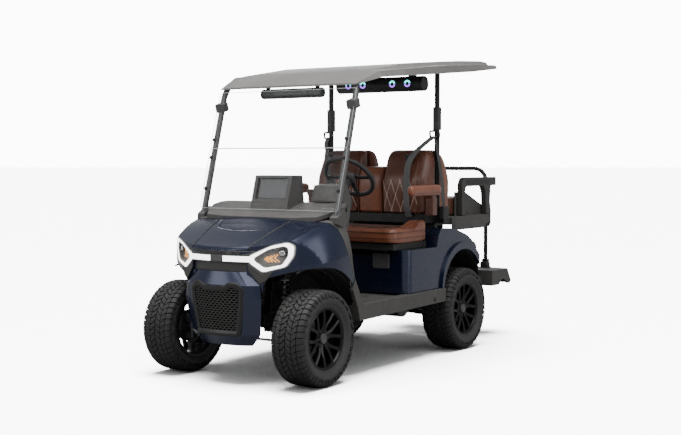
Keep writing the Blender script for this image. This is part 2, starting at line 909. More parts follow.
@dataclass(frozen=True)
class PaleFloor(Finish):
    """The studio's floor: pale to the camera and dark to the light that it would throw back."""

    lighter: Tone = (0.88, 0.88, 0.88)
    thrown: Tone = (0.045, 0.045, 0.045)

    def inputs(self, g: Graph, groups: Groups) -> dict[str, Any]:
        """Slow noise for tone, and what kind of ray it is seen by."""
        pale = g.mix(g.noise(g.place(), 0.4), colour(self.base), colour(self.lighter))
        seen = g.node("LightPath").outputs["Is Camera Ray"]
        return {"Base Color": g.mix(seen, colour(self.thrown), pale), "Roughness": 0.9, "Specular IOR Level": 0.1}


RUBBER_DUST = (0.13, 0.125, 0.12)
FINISHES = (
    Paint("body_paint", (0.0028, 0.0068, 0.027)),
    # mouldings: name, colour, roughness, pips for each metre, depth, dust, metallic
    Moulding("trim_plastic", (0.058, 0.056, 0.053), 0.62, 900.0, 0.0003),
    Moulding("roof_shell", (0.15, 0.143, 0.138), 0.42, 1100.0, 0.0001, 0.05),
    Moulding("black_plastic", (0.016, 0.016, 0.016), 0.5, 900.0, 0.0002, 0.05),
    Moulding("liner_plastic", (0.008, 0.008, 0.008), 0.75, 500.0, 0.0003, 0.12),
    Moulding("mask_plastic", (0.04, 0.038, 0.036), 0.5, 900.0, 0.0002, 0.04),
    Moulding("tread_rubber", (0.012, 0.0118, 0.0115), 0.66, 900.0, 0.0004, 0.2, 0.0, RUBBER_DUST),
    Moulding("wall_rubber", (0.027, 0.027, 0.0275), 0.55, 800.0, 0.0002, 0.15, 0.0, RUBBER_DUST),
    Moulding("floor_rubber", (0.05, 0.049, 0.047), 0.8, 220.0, 0.0009, 0.2),
    Moulding("grip_leather", (0.016, 0.016, 0.017), 0.42, 650.0, 0.0003, 0.05),
    Moulding("alloy_black", (0.009, 0.009, 0.0095), 0.24, 1500.0, 0.00005, 0.04, 0.5),
    Moulding("cap_grey", (0.075, 0.074, 0.073), 0.45, 1500.0, 0.0001, 0.05, 0.2),
    Moulding("frame_black", (0.012, 0.012, 0.012), 0.42, 1300.0, 0.0001, 0.1, 0.3),
    Moulding("battery_case", (0.08, 0.08, 0.085), 0.55, 600.0, 0.0003, 0.1),
    Moulding("projector_black", (0.02, 0.02, 0.02), 0.18, 900.0, 0.00005, 0.0),
    Moulding("lamp_grey", (0.28, 0.275, 0.265), 0.35, 900.0, 0.00005, 0.0),
    Moulding("grille_black", (0.007, 0.007, 0.007), 0.4, 900.0, 0.0001, 0.02),
    Moulding("edge_light", (0.42, 0.45, 0.45), 0.3, 900.0, 0.00002, 0.0),
    Moulding("strut_grey", (0.11, 0.11, 0.11), 0.34, 1500.0, 0.00004, 0.03, 0.7),
    Leather("saddle_leather", (0.20, 0.060, 0.025), 0.30),
    Leather("shade_leather", (0.10, 0.032, 0.016), 0.37),
    Leather("piping_leather", (0.12, 0.036, 0.016), 0.36),
    Leather("quilted_leather", (0.11, 0.036, 0.018), 0.38, quilt=(0.072, 0.2, 0.111, 0.96)),
    # metals: name, colour, roughness, metallic, dust
    Metal("steel", (0.5, 0.49, 0.47)),
    Metal("cast_grey", (0.16, 0.16, 0.165), 0.5, 0.9, 0.2),
    Metal("motor_grey", (0.11, 0.11, 0.115), 0.55, 0.7, 0.2),
    Metal("chrome", (0.75, 0.75, 0.75), 0.16, 1.0, 0.0),
    Glow("daylight_strip", (1.0, 1.0, 1.0), 3.6),
    Glow("amber_arrow", (1.0, 0.46, 0.12), 1.7),
    Glow("ring_cyan", (0.08, 0.85, 0.8), 3.2),
    Glow("ring_violet", (0.35, 0.12, 0.9), 2.4),
    # glass: name, colour, opacity, roughness
    Glass("screen_glass", (0.10, 0.11, 0.11), 0.03),
    Glass("lens_smoke", (0.02, 0.02, 0.02), 0.05, 0.06),
    Glass("mirror_face", (0.05, 0.055, 0.06), 1.0, 0.04),
    Glass("lamp_red", (0.25, 0.03, 0.03), 0.9, 0.12),
    Glass("display", (0.02, 0.022, 0.026), 1.0, 0.12),
    Webbing("belt_grey", (0.06, 0.06, 0.06)),
    Webbing("belt_black", (0.014, 0.014, 0.014)),
    PaleFloor("studio_floor", (0.86, 0.86, 0.86)),
)


class Workshop:
    """Holds every material by name and makes pieces with them."""

    def __init__(self) -> None:
        """Make the groups and the materials."""
        groups = Groups()
        self.materials = {finish.name: finish.make(groups) for finish in FINISHES}

    def dress(self, obj: bpy.types.Object, finish: str, slot: str, body: str = "chassis",
              replaces: Iterable[str] = ()) -> bpy.types.Object:
        """Give a piece its material, its body and what it stands for.

        Args:
            obj: the piece.
            finish: name of its only material.
            slot: material slot of the record.
            body: frame body that it rides on.
            replaces: frame nodes that it stands for.

        Returns:
            The same object.
        """
        obj.data.materials.clear()
        obj.data.materials.append(self.materials[finish])
        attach(obj, body)
        if replaces:
            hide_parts(*replaces)
        LOG.info("%s: %d faces on %s", obj.name, len(obj.data.polygons), body)
        return obj

    def piece(self, name: str, shape: Shape, finish: str, slot: str, rounding: Rounding = SHARP,
              body: str = "chassis", replaces: Iterable[str] = ()) -> bpy.types.Object:
        """Make and dress a piece of the cart.

        Args:
            name: what it is called.
            shape: its points and faces.
            finish: name of its material.
            slot: material slot of the record.
            rounding: how its edges are finished.
            body: frame body that it rides on.
            replaces: frame nodes that it stands for.

        Returns:
            The object.
        """
        return self.dress(object_of(name, shape, rounding), finish, slot, body, replaces)

    def pad(self, name: str, shape: Shape, finish: str, body: str = "chassis", replaces: Iterable[str] = (),
            rounding: Rounding = Rounding(Edge.SUBDIVIDED)) -> bpy.types.Object:
        """Make and dress a padded piece of leather.

        Args:
            name, shape, finish: as piece takes them.
            body, replaces, rounding: as piece takes them.

        Returns:
            The object.
        """
        obj = self.piece(name, shape, finish, "leather_brown", rounding, body, replaces)
        return obj


@dataclass
class Assembly:
    """A sub-assembly that makes its pieces in a workshop."""

    shop: Workshop

    def build(self) -> None:
        """Make every piece."""
        raise NotImplementedError


# ---------------------------------------------------------------- wheels
class Corner(Enum):
    """The four wheels: node ending, side and axle."""

    FRONT_LEFT = ("front_left", 1.0, FRONT_AXLE)
    FRONT_RIGHT = ("front_right", -1.0, FRONT_AXLE)
    REAR_LEFT = ("rear_left", 1.0, REAR_AXLE)
    REAR_RIGHT = ("rear_right", -1.0, REAR_AXLE)

    def __init__(self, ending: str, side: float, axle: float) -> None:
        """Keep the wheel's node ending, side, middle and body.

        Args:
            ending: how its frame nodes end.
            side: 1 on the left and -1 on the right.
            axle: y of its axle.
        """
        self.ending, self.side = ending, side
        self.centre = (side * HALF_TRACK, axle, AXLE_Z)
        self.body = f"wheel_{ending}"


@dataclass
class Tyre(Assembly):
    """All-terrain tyre: a turned carcass with rows of slanted blocks and lugs over the shoulder."""

    corner: Corner
    pitches: int = 24
    depth: float = 11 * MM
    chamfer: float = 1.8 * MM
    tread_band: float = .026
    # outside of the tyre from the middle of the tread to the bead: offset and radius
    outside: Outline = (
        (0, .2794), (.035, .2794), (.068, .2786), (.090, .2748), (.103, .2665), (.1095, .2535), (.1118, .238),
        (.1105, .222), (.1060, .2075), (.0990, .1970), (.0955, .1880), (.0900, .1770))
    # stations of each block: way across the tread, start and end in shares of a pitch
    blocks: tuple[tuple[Point, ...], ...] = (
        ((.0025, .02, .42), (.014, .08, .48), (.017, .19, .59), (.037, .33, .73)),
        ((.0025, .52, .92), (.014, .58, .98), (.017, .69, 1.09), (.037, .83, 1.23)),
        ((.041, .34, .77), (.054, .27, .70), (.057, .16, .59), (.072, .08, .50)),
        ((.041, .84, 1.27), (.054, .77, 1.20), (.057, .66, 1.09), (.072, .58, 1.00)),
        ((.076, .07, .50), (.092, .02, .45), (.106, .00, .43), (.120, .00, .43), (.143, .03, .40)),
        ((.076, .57, 1.0), (.092, .52, .95), (.106, .50, .93), (.118, .50, .93), (.131, .53, .90)),
    )
    halves: Outline = ((1.0, 0.0), (-1.0, 0.27))  # way across and shift in pitches of each half of the tread
    groove_end: float = .128
    groove_fade: float = .018

    def line(self) -> tuple[Array, Array, Array]:
        """The outside line by its own length, its points and its outward normals."""
        points = smooth_line(self.outside, 60)
        ahead = np.gradient(points, axis=0)
        ahead /= np.linalg.norm(ahead, axis=1)[:, None]
        return length_along(points), points, np.stack([-ahead[:, 1], ahead[:, 0]], axis=1)

    def spot(self, way: Array, below: Array) -> Array:
        """Offset and radius at a way along the outside line and a depth below it."""
        run, points, normal = self.line()
        return xyz(*(np.interp(way, run, points[:, k]) - below * np.interp(way, run, normal[:, k]) for k in (0, 1)))

    def carcass(self) -> Shape:
        """The tyre under its blocks: the outside line lowered by the groove depth, turned round the axle."""
        run = self.line()[0]
        fade = np.clip((self.groove_end + self.groove_fade - run) / self.groove_fade, 0, 1)
        half = self.spot(run, self.depth * fade)
        section = np.vstack([half[::-1] * [-1, 1], half[1:]])
        return turned(section, self.corner.centre, self.corner.side, 144)

    def block(self, stations: Sequence[Point], mirror: float, shift: float) -> Shape:
        """Every copy of one block on one half of the tread.

        A station's section has six points: its foot, its chamfered shoulder and its top edge on
        both sides. The first and last stations are lowered by the chamfer.

        Args:
            stations: way across the tread, start and end of the block at each.
            mirror: 1 or -1, the half of the tread.
            shift: turn of the half in pitches.

        Returns:
            The copies, in place on the wheel.
        """
        s, chamfer = np.array(stations), self.chamfer
        ends = s[[0, -1]] + [[chamfer, 0, 0], [-chamfer, 0, 0]]
        s = np.vstack([s[:1], ends[:1], s[1:-1], ends[1:], s[-1:]])
        drop = np.zeros(len(s))
        drop[[0, -1]] = chamfer
        edge = chamfer * self.pitches / (2 * np.pi * TYRE_R)
        _, start, end = s.T
        share = xyz(start, start, start + edge, end - edge, end, end)
        foot = self.depth + 2 * MM
        flat = self.spot(s[:, :1], xyz(foot, drop + chamfer, drop, drop, drop + chamfer, foot))
        turn = np.arange(self.pitches)[:, None, None]
        angle = (turn + share + shift) * 2 * np.pi / self.pitches
        x, y, z = self.corner.centre
        offset, radius = flat[..., 0], flat[..., 1]
        grids = xyz(x + mirror * offset, y + radius * np.cos(angle), z + radius * np.sin(angle))
        return repeated(grids, close_columns=True, caps=True)

    def build(self) -> None:
        """Make the carcass and the tread and put them on the wheel's body."""
        corner = self.corner
        wall = self.shop.piece(f"tyre_wall_{corner.ending}", self.carcass(), "wall_rubber", "tyre", SMOOTH,
                               corner.body, [f"tyre_{corner.ending}"])
        wall.data.materials.append(self.shop.materials["tread_rubber"])
        middle = np.zeros(len(wall.data.polygons) * 3)
        wall.data.polygons.foreach_get("center", middle)
        _, y, z = (middle.reshape(-1, 3) - corner.centre).T
        in_tread = np.hypot(y, z) > TYRE_R - self.tread_band
        wall.data.polygons.foreach_set("material_index", in_tread.astype(np.int32))
        tread = joined(self.block(stations, *half) for half in self.halves for stations in self.blocks)
        self.shop.piece(f"tread_{corner.ending}", tread, "tread_rubber", "tyre", Rounding(Edge.SHARP, past=25.0),
                        corner.body)


@dataclass
class Rim(Assembly):
    """Black alloy rim: barrel, dished hub and six forked spokes, with a grey cap and wheel nuts."""

    corner: Corner
    forks: int = 6
    fork_shift: float = .25
    nuts: int = 6
    nut_circle: float = .047
    barrel: Outline = (
        (.0900, .1790), (.0935, .1762), (.0925, .1700), (.0880, .1655), (.0800, .1610), (.0600, .1620),
        (-.060, .1680), (-.098, .1720), (-.100, .1890), (-.086, .1896), (-.080, .1780), (.080, .1780),
        (.0820, .1800))
    hub: Outline = (
        (.028, .0), (.028, .060), (.050, .062), (.062, .058), (.066, .052), (.060, .046), (.060, .0))
    cap: Outline = (
        (.055, .0), (.055, .032), (.073, .031), (.077, .027), (.078, .022), (.0765, .020), (.0765, .0))
    nut: Outline = ((.058, .0085), (.069, .0085), (.071, .006))  # offset and radius
    # stations of one leg of a fork: radius, offset of its outer face, half width, way from the fork's line
    leg: tuple[tuple[float, float, float, float], ...] = (
        (.030, .066, .0150, .0080), (.058, .071, .0150, .0100), (.084, .077, .0140, .0140),
        (.110, .083, .0135, .0260), (.140, .086, .0140, .0400), (.166, .087, .0190, .0520))
    leg_depth: float = .024
    leg_ridge: float = .006

    def on_face(self, offset: Array, along: Array | float, across: Array | float, turn: float) -> Array:
        """Points of the wheel's face.

        Args:
            offset: way out from the wheel's middle.
            along, across: place along a line from the axle, and beside it.
            turn: angle of that line.

        Returns:
            The points, with one more axis than the places.
        """
        x, y, z = self.corner.centre
        c, s = math.cos(turn), math.sin(turn)
        return xyz(x + self.corner.side * offset, y + along * c - across * s, z + along * s + across * c)

    def one_leg(self, turn: float, way: float) -> Shape:
        """One leg of a fork, a ridged section carried outwards and narrowed to its ridge."""
        radius, face, half, off = np.array(self.leg).T
        across = xyz(-half, -half * .8, half * .1, half * .8, half) + off[:, None]
        foot, side = face - self.leg_depth, face - self.leg_ridge
        return solid(self.on_face(xyz(foot, side, face, side, foot), radius[:, None], way * across, turn))

    def one_nut(self, turn: float) -> Shape:
        """A six-sided nut that narrows at its end."""
        offset, radius = np.array(self.nut).T
        return carried(self.on_face(offset, self.nut_circle, 0.0, turn), circle(1.0, 6) * radius[:, None, None])

    def build(self) -> None:
        """Make the rim's pieces and put them on the wheel's body."""
        corner = self.corner
        legs = [self.one_leg(2 * math.pi * (fork + self.fork_shift) / self.forks, way)
                for fork in range(self.forks) for way in (-1.0, 1.0)]
        barrel, hub, cap = (turned(profile, corner.centre, corner.side, sides)
                            for profile, sides in ((self.barrel, 96), (self.hub, 48), (self.cap, 40)))
        fine = Rounding(width=.6 * MM)
        self.shop.piece(f"alloy_{corner.ending}", joined([barrel, hub, *legs]), "alloy_black", "rim_black",
                        Rounding(width=1.2 * MM), corner.body, [f"rim_{corner.ending}"])
        self.shop.piece(f"hub_cap_{corner.ending}", cap, "cap_grey", "rim_black", fine, corner.body)
        nuts = joined(self.one_nut(2 * math.pi * number / self.nuts) for number in range(self.nuts))
        self.shop.piece(f"wheel_nuts_{corner.ending}", nuts, "frame_black", "steel", fine, corner.body)


# ---------------------------------------------------------------- panels that follow the frame
@dataclass(frozen=True)
class Panel:
    """A frame node that keeps its form, with its finish and the rounding of its edges."""

    node: str
    finish: str
    slot: str
    width: float = 2.0
    body: str = "chassis"
    past: float = 32.0


PANELS = (
    Panel("front_body", "body_paint", "paint_navy", 1.6),
    Panel("rear_body", "body_paint", "paint_navy", 4.0),
    Panel("chin_fascia", "body_paint", "paint_navy", 2.5, past=14.0),
    Panel("cowl_top", "trim_plastic", "plastic_dark", 4.0),
    Panel("pillar_trims", "trim_plastic", "plastic_dark", 2.0),
    Panel("floor_and_sills", "trim_plastic", "plastic_dark", 3.0),
    Panel("rear_deck", "trim_plastic", "plastic_dark", 3.0),
    Panel("rear_step", "trim_plastic", "plastic_dark", 5.0),
    Panel("dash_panel", "trim_plastic", "plastic_dark", 4.0),
    Panel("steering_column", "black_plastic", "plastic_dark", 4.0),
    Panel("nose_panel", "mask_plastic", "plastic_dark", 1.0),
    Panel("roof", "roof_shell", "plastic_roof", 4.0, past=16.0),
    Panel("front_liners", "liner_plastic", "plastic_black", 1.0),
    Panel("rear_liners", "liner_plastic", "plastic_black", 1.0),
    Panel("battery_pack", "battery_case", "battery_grey", 4.0),
    Panel("seat_pan", "black_plastic", "frame_black", 2.0, "front_seat"),
    Panel("seat_frame", "frame_black", "frame_black", 3.0),
    Panel("armrest_brackets", "shade_leather", "leather_brown", 4.0),
    Panel("windshield_struts", "strut_grey", "frame_black", 1.0),
    Panel("rear_posts", "frame_black", "frame_black", 1.0),
    Panel("sound_bar", "black_plastic", "plastic_black", 3.0),
    Panel("frame_rails", "frame_black", "frame_black", 3.0),
    Panel("frame_crossmembers", "frame_black", "frame_black", 3.0),
    Panel("front_towers", "frame_black", "frame_black", 3.0),
    Panel("suspension_arms", "frame_black", "frame_black", 3.0),
    Panel("knuckle_left", "cast_grey", "steel", 2.0, "knuckle_left"),
    Panel("knuckle_right", "cast_grey", "steel", 2.0, "knuckle_right"),
    Panel("tie_rod", "steel", "steel", 1.0, "tie_rod"),
    Panel("rear_axle", "cast_grey", "steel", 2.0),
    Panel("motor", "motor_grey", "motor_grey", 3.0),
    Panel("rear_suspension", "frame_black", "frame_black", 2.0),
    Panel("step_brackets", "frame_black", "frame_black", 2.0),
    Panel("grab_hoop", "frame_black", "frame_black", 1.0),
)


@dataclass
class FramePanels(Assembly):
    """The panels and bars whose form comes from the frame."""

    panels: tuple[Panel, ...] = PANELS

    def build(self) -> None:
        """Copy, round and dress each of them."""
        for panel in self.panels:
            rounding = Rounding(width=panel.width * MM, past=panel.past)
            obj = node_copy(f"{panel.node}_shell", panel.node, rounding)
            self.shop.dress(obj, panel.finish, panel.slot, panel.body)


# ---------------------------------------------------------------- nose, lamps and hood
@dataclass
class NoseFace:
    """The upright front of the nose: an arc in plan about a centre behind it."""

    radius: float = .678
    front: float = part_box("light_band")[0].y

    def at(self, flat: Array, out: Array | float) -> Array:
        """Points over (x, z) places, moved out along the arc's radius.

        y is the front plus the radius minus the root of (radius + out) squared minus x squared.
        """
        x, z = flat[..., 0], flat[..., 1]
        return xyz(x, self.front + self.radius - np.sqrt((self.radius + out) ** 2 - x**2), z)

    def solid(self, *rings: tuple[Array, float]) -> Shape:
        """A solid through outlines of the face, each at its own height."""
        return solid([self.at(line, out) for line, out in rings])

    def plate(self, outline: Sequence[Sequence[float]], out: float, back: float, edge: float = 1.5 * MM) -> Shape:
        """A plate with a chamfered front edge, finely cut along X so that it follows the arc.

        Args:
            outline: its corners in X and Z.
            out, back: heights of its front and back.
            edge: width of its chamfer.

        Returns:
            The closed plate.
        """
        line = even_loop(outline, 96)
        return self.solid((line, back), (line, out - edge), (drawn_in(line, edge), out))

    def bar(self, low: float, high: float, out: float, back: float, x: Array, edge: float = 1.5 * MM) -> Shape:
        """A level bar with chamfered long edges.

        Args:
            low, high: its heights.
            out, back: heights of its front and back over the face.
            x: its stations.
            edge: width of its chamfers; they are two thirds as deep.

        Returns:
            The closed bar.
        """
        side = out - edge * 2 / 3
        levels = ((low, back), (low, side), (low + edge, out), (high - edge, out), (high, side), (high, back))
        return solid(np.stack([self.at(xyz(x, z), level) for z, level in levels], axis=1))


@dataclass
class Lamps(Assembly):
    """Headlamps with a lit outline, arrow lights and a projector, and the lit band between them."""

    face: NoseFace = field(default_factory=NoseFace)
    outline: Outline = (
        (.206, .757), (.330, .818), (.412, .838), (.445, .815), (.440, .752), (.405, .690), (.285, .656), (.206, .713))
    inner: Outline = (
        (.240, .744), (.318, .793), (.392, .812), (.411, .800), (.410, .756), (.382, .706), (.296, .687), (.240, .727))
    outline_round: float = .018
    inner_round: float = .012
    depth: float = .040
    recess: float = -.024
    arrows: int = 4
    projector: tuple[float, float] = (.374, .771)
    band_half: float = .2055
    band_low: float = .7195
    band_high: float = .7505
    band_frame: float = .0065
    band_overlap: float = .030
    badge_half: float = .046

    def loop(self, corners: Outline, radius: float) -> Array:
        """An outline, rounded and evenly spaced."""
        return even_loop(rounded(corners, radius, 6), 120)

    def arrow(self, number: int) -> Outline:
        """One arrow light that points to the middle of the nose, larger the further out it is."""
        tip, high, low = .277 + .0168 * number, .0180 + .0018 * number, .0190 + .0012 * number
        middle, wide = .735 + .0025 * number, .0050 + .0004 * number
        return ((tip, middle), (tip + .019, middle + high), (tip + .019 + wide * .8, middle + high),
                (tip + wide, middle), (tip + .024 + wide, middle - low), (tip + .024, middle - low))

    def build(self) -> None:
        """Make both lamps and the band."""
        outer, inner = self.loop(self.outline, self.outline_round), self.loop(self.inner, self.inner_round)
        self.build_bowls(outer, inner)
        self.build_lights()
        cover = self.face.plate(drawn_in(inner, .5 * MM), .0025, .0005)
        self.shop.piece("headlamp_lenses", cover.both_sides(), "lens_smoke", "lamp_clear")
        self.build_band()

    def build_bowls(self, outer: Array, inner: Array) -> None:
        """Make the housings and the lit rings on their rims, between an outer and an inner outline."""
        face = self.face
        bowl = face.solid((outer, -self.depth), (outer, .0015), (drawn_in(outer, 5 * MM), .003), (inner, .001),
                          (drawn_in(inner, 1 * MM), self.recess))
        self.shop.piece("headlamp_housings", bowl.both_sides(), "lamp_grey", "plastic_dark",
                        Rounding(Edge.SHARP, past=28), replaces=["headlamps"])
        levels = ((drawn_in(outer, 6 * MM), .002), (drawn_in(outer, 8 * MM), .0052),
                  (drawn_in(inner, -3 * MM), .0062), (drawn_in(inner, -1 * MM), .002))
        ring = skin(np.stack([face.at(line, out) for line, out in levels]), close_rows=True, close_columns=True)
        self.shop.piece("daylight_rings", ring.both_sides(), "daylight_strip", "lamp_clear",
                        Rounding(Edge.SHARP, past=50))

    def build_lights(self) -> None:
        """Make the arrow lights and the projectors at the bottom of the bowls."""
        face, recess = self.face, self.recess
        arrows = joined(face.plate(self.arrow(number), recess + .0022, recess - .001) for number in range(self.arrows))
        self.shop.piece("arrow_lights", arrows.both_sides(), "amber_arrow", "lamp_clear")
        for name, radius, low, high, finish, rounding in (
                ("rims", .021, .0, .009, "projector_black", SHARP),
                ("lenses", .0155, .009, .0135, "chrome", SMOOTH)):
            levels = ((1.0, low), (1.0, high), (.8, high + .003), (.3, high + .005))
            dome = face.solid(*((circle(radius * share, 28) + self.projector, recess + out) for share, out in levels))
            self.shop.piece(f"projector_{name}", dome.both_sides(), finish, "lamp_clear", rounding)

    def build_band(self) -> None:
        """Make the band's frame, its lit strips and the plain plate at its middle."""
        face, half, gap = self.face, self.band_half, self.badge_half
        low, high = self.band_low, self.band_high
        rim = self.band_frame
        holder = face.bar(low - rim, high + rim, .0018, self.recess, np.linspace(-half, half, 60))
        self.shop.piece("band_frame", holder, "mask_plastic", "plastic_dark", replaces=["light_band"])
        end = half + self.band_overlap
        strips = joined(face.bar(low, high, .0056, .001, np.linspace(*ends, 30)) for ends in ((-end, -gap), (gap, end)))
        self.shop.piece("daylight_band", strips, "daylight_strip", "lamp_clear")
        plate_half = gap - 1 * MM
        plate = face.bar(low - .002, high + .002, .0062, .001, np.linspace(-plate_half, plate_half, 12))
        self.shop.piece("band_centre_plate", plate, "cap_grey", "plastic_dark", Rounding(width=1 * MM))


@dataclass(frozen=True)
class NosePlate:
    """A dark plate of the nose: its outline, the heights of its front and back, and its finish."""

    name: str
    outline: Outline
    out: float
    back: float
    finish: str
    slot: str
    both: bool = False


@dataclass
class NoseTrim(Assembly):
    """Mouldings round the band: the mask above it, the pockets beside the chin and the linings behind."""

    face: NoseFace = field(default_factory=NoseFace)
    plates: tuple[NosePlate, ...] = (
        NosePlate("brow_mask", ((-.205, .757), (.205, .757), (.252, .781), (-.252, .781)), .0012, -.004,
                  "cap_grey", "plastic_dark"),
        NosePlate("brow_inlay", ((-.140, .760), (.140, .760), (.170, .779), (-.170, .779)), .0020, -.004,
                  "black_plastic", "plastic_black"),
        NosePlate("chin_pockets",
                  ((.205, .712), (.284, .6545), (.342, .669), (.300, .612), (.270, .596), (.208, .672)),
                  .0050, -.006, "mask_plastic", "plastic_dark", True),
        NosePlate("nose_lining",
                  ((-.20, .45), (.20, .45), (.235, .62), (.30, .69), (.225, .778), (-.225, .778), (-.30, .69),
                   (-.235, .62)), -.042, -.047, "liner_plastic", "plastic_black"),
        NosePlate("chin_corner_fills",
                  ((.19, .712), (.19, .59), (.276, .565), (.292, .60), (.268, .655), (.24, .70)),
                  -.007, -.013, "body_paint", "paint_navy", True),
    )

    def build(self) -> None:
        """Make the mouldings."""
        for one in self.plates:
            plate = self.face.plate(one.outline, one.out, one.back)
            self.shop.piece(one.name, plate.both_sides() if one.both else plate, one.finish, one.slot)


@dataclass
class Grille(Assembly):
    """Black grille: a heavy bevelled frame round flat honeycomb cells, over a dark back."""

    outline: Outline = (
        (-.186, .560), (-.150, .590), (-.105, .590), (-.085, .572), (.085, .572), (.105, .590), (.150, .590),
        (.186, .560), (.178, .480), (.148, .312), (.138, .302), (-.138, .302), (-.148, .312), (-.178, .480))
    outline_round: float = .014
    frame_width: float = .020
    rise: float = .0075
    depth: float = .026
    cell: tuple[float, float] = (.0290, .0172)
    cell_depth: float = .020
    row_step: float = .78
    lowest: float = .300
    wall: float = .0030
    bin_size: float = .03
    margin: float = .0005
    fit: Array = field(init=False)

    def __post_init__(self) -> None:
        """Fit the front of the frame's grille by least squares to the foremost point of each bin."""
        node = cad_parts["grille"].data
        p = np.zeros(len(node.vertices) * 3)
        node.vertices.foreach_get("co", p)
        p = p.reshape(-1, 3)
        bins = np.round(p[:, [0, 2]] / self.bin_size).astype(int)
        order = np.lexsort((p[:, 1], bins[:, 1], bins[:, 0]))
        first = np.concatenate([[True], np.any(np.diff(bins[order], axis=0) != 0, axis=1)])
        x, y, z = p[order][first].T
        self.fit = np.linalg.lstsq(self.terms(x, z), y, rcond=None)[0]

    @staticmethod
    def terms(x: Array, z: Array) -> Array:
        """The fit's terms for each place: 1, x squared, z, z squared and x to the fourth."""
        return xyz(1.0, x**2, z, z**2, x**4)

    def at(self, flat: Array, out: float) -> Array:
        """Points over (x, z) places, moved forward from the fitted front but not past the frame's box."""
        x, z = flat[..., 0], flat[..., 1]
        return xyz(x, np.maximum(self.terms(x, z) @ self.fit - out, CAD_BOX[0][1] + self.margin), z)

    def build(self) -> None:
        """Make the frame, the honeycomb and its back."""
        line = even_loop(rounded(self.outline, self.outline_round), 160)
        inner, outer = drawn_in(line, self.frame_width), drawn_in(line, -.014)
        levels = ((outer, -self.depth), (outer, .002), (drawn_in(line, -.007), self.rise),
                  (drawn_in(line, .004), self.rise + .002), (drawn_in(line, .013), self.rise * .7), (inner, .002),
                  (inner, -self.depth))
        ring = skin(np.stack([self.at(p, out) for p, out in levels]), close_rows=True, close_columns=True)
        self.shop.piece("grille_frame", ring, "grille_black", "plastic_black", Rounding(Edge.SHARP, past=24),
                        replaces=["grille"])
        self.shop.piece("grille_cells", self.honeycomb(drawn_in(line, self.frame_width * .55)), "mask_plastic",
                        "plastic_black", Rounding(Edge.SHARP, past=40))
        edge = drawn_in(line, .004)
        back = solid([self.at(edge, -self.depth), self.at(edge, -self.depth - 3 * MM)])
        self.shop.piece("grille_back", back, "liner_plastic", "plastic_black")

    def honeycomb(self, limit: Array) -> Shape:
        """Cell walls over every place of a staggered grid whose middle is inside a limit."""
        wide, tall = self.cell
        centres = np.array([((column + .5 * (row % 2)) * wide, self.lowest + row * tall * self.row_step)
                            for row in range(-2, 26) for column in range(-9, 10)])
        centres = centres[self.inside(centres, limit)]
        corners = ((0, .5), (-.5, .25), (-.5, -.25), (0, -.5), (.5, -.25), (.5, .25))
        hexagon = np.array(corners) * [wide, tall * 1.04]
        hole = hexagon * [1 - 2 * self.wall / wide, 1 - 2 * self.wall * .62 / tall]
        levels = ((hexagon * 1.02, -self.cell_depth), (hexagon * 1.02, -.001), (hole * 1.04, .0),
                  (hole * .98, -.003), (hole * .98, -self.cell_depth))
        grids = np.stack([self.at(centres[:, None] + shape, out) for shape, out in levels], axis=1)
        return repeated(grids, close_rows=True, close_columns=True)

    @staticmethod
    def inside(places: Array, outline: Array) -> Array:
        """Whether each place is inside a closed outline: the sides to its right are odd in number.

        Args:
            places: shape (n, 2).
            outline: the outline's points in order.

        Returns:
            A truth value for each place.
        """
        a, b = outline, np.roll(outline, -1, axis=0)
        x, z = places[:, :1], places[:, 1:]
        spans = (a[:, 1] > z) != (b[:, 1] > z)
        rise = np.where(b[:, 1] == a[:, 1], 1e-12, b[:, 1] - a[:, 1])
        crossing = a[:, 0] + (z - a[:, 1]) / rise * (b[:, 0] - a[:, 0])
        return np.sum(spans & (x < crossing), axis=1) % 2 == 1


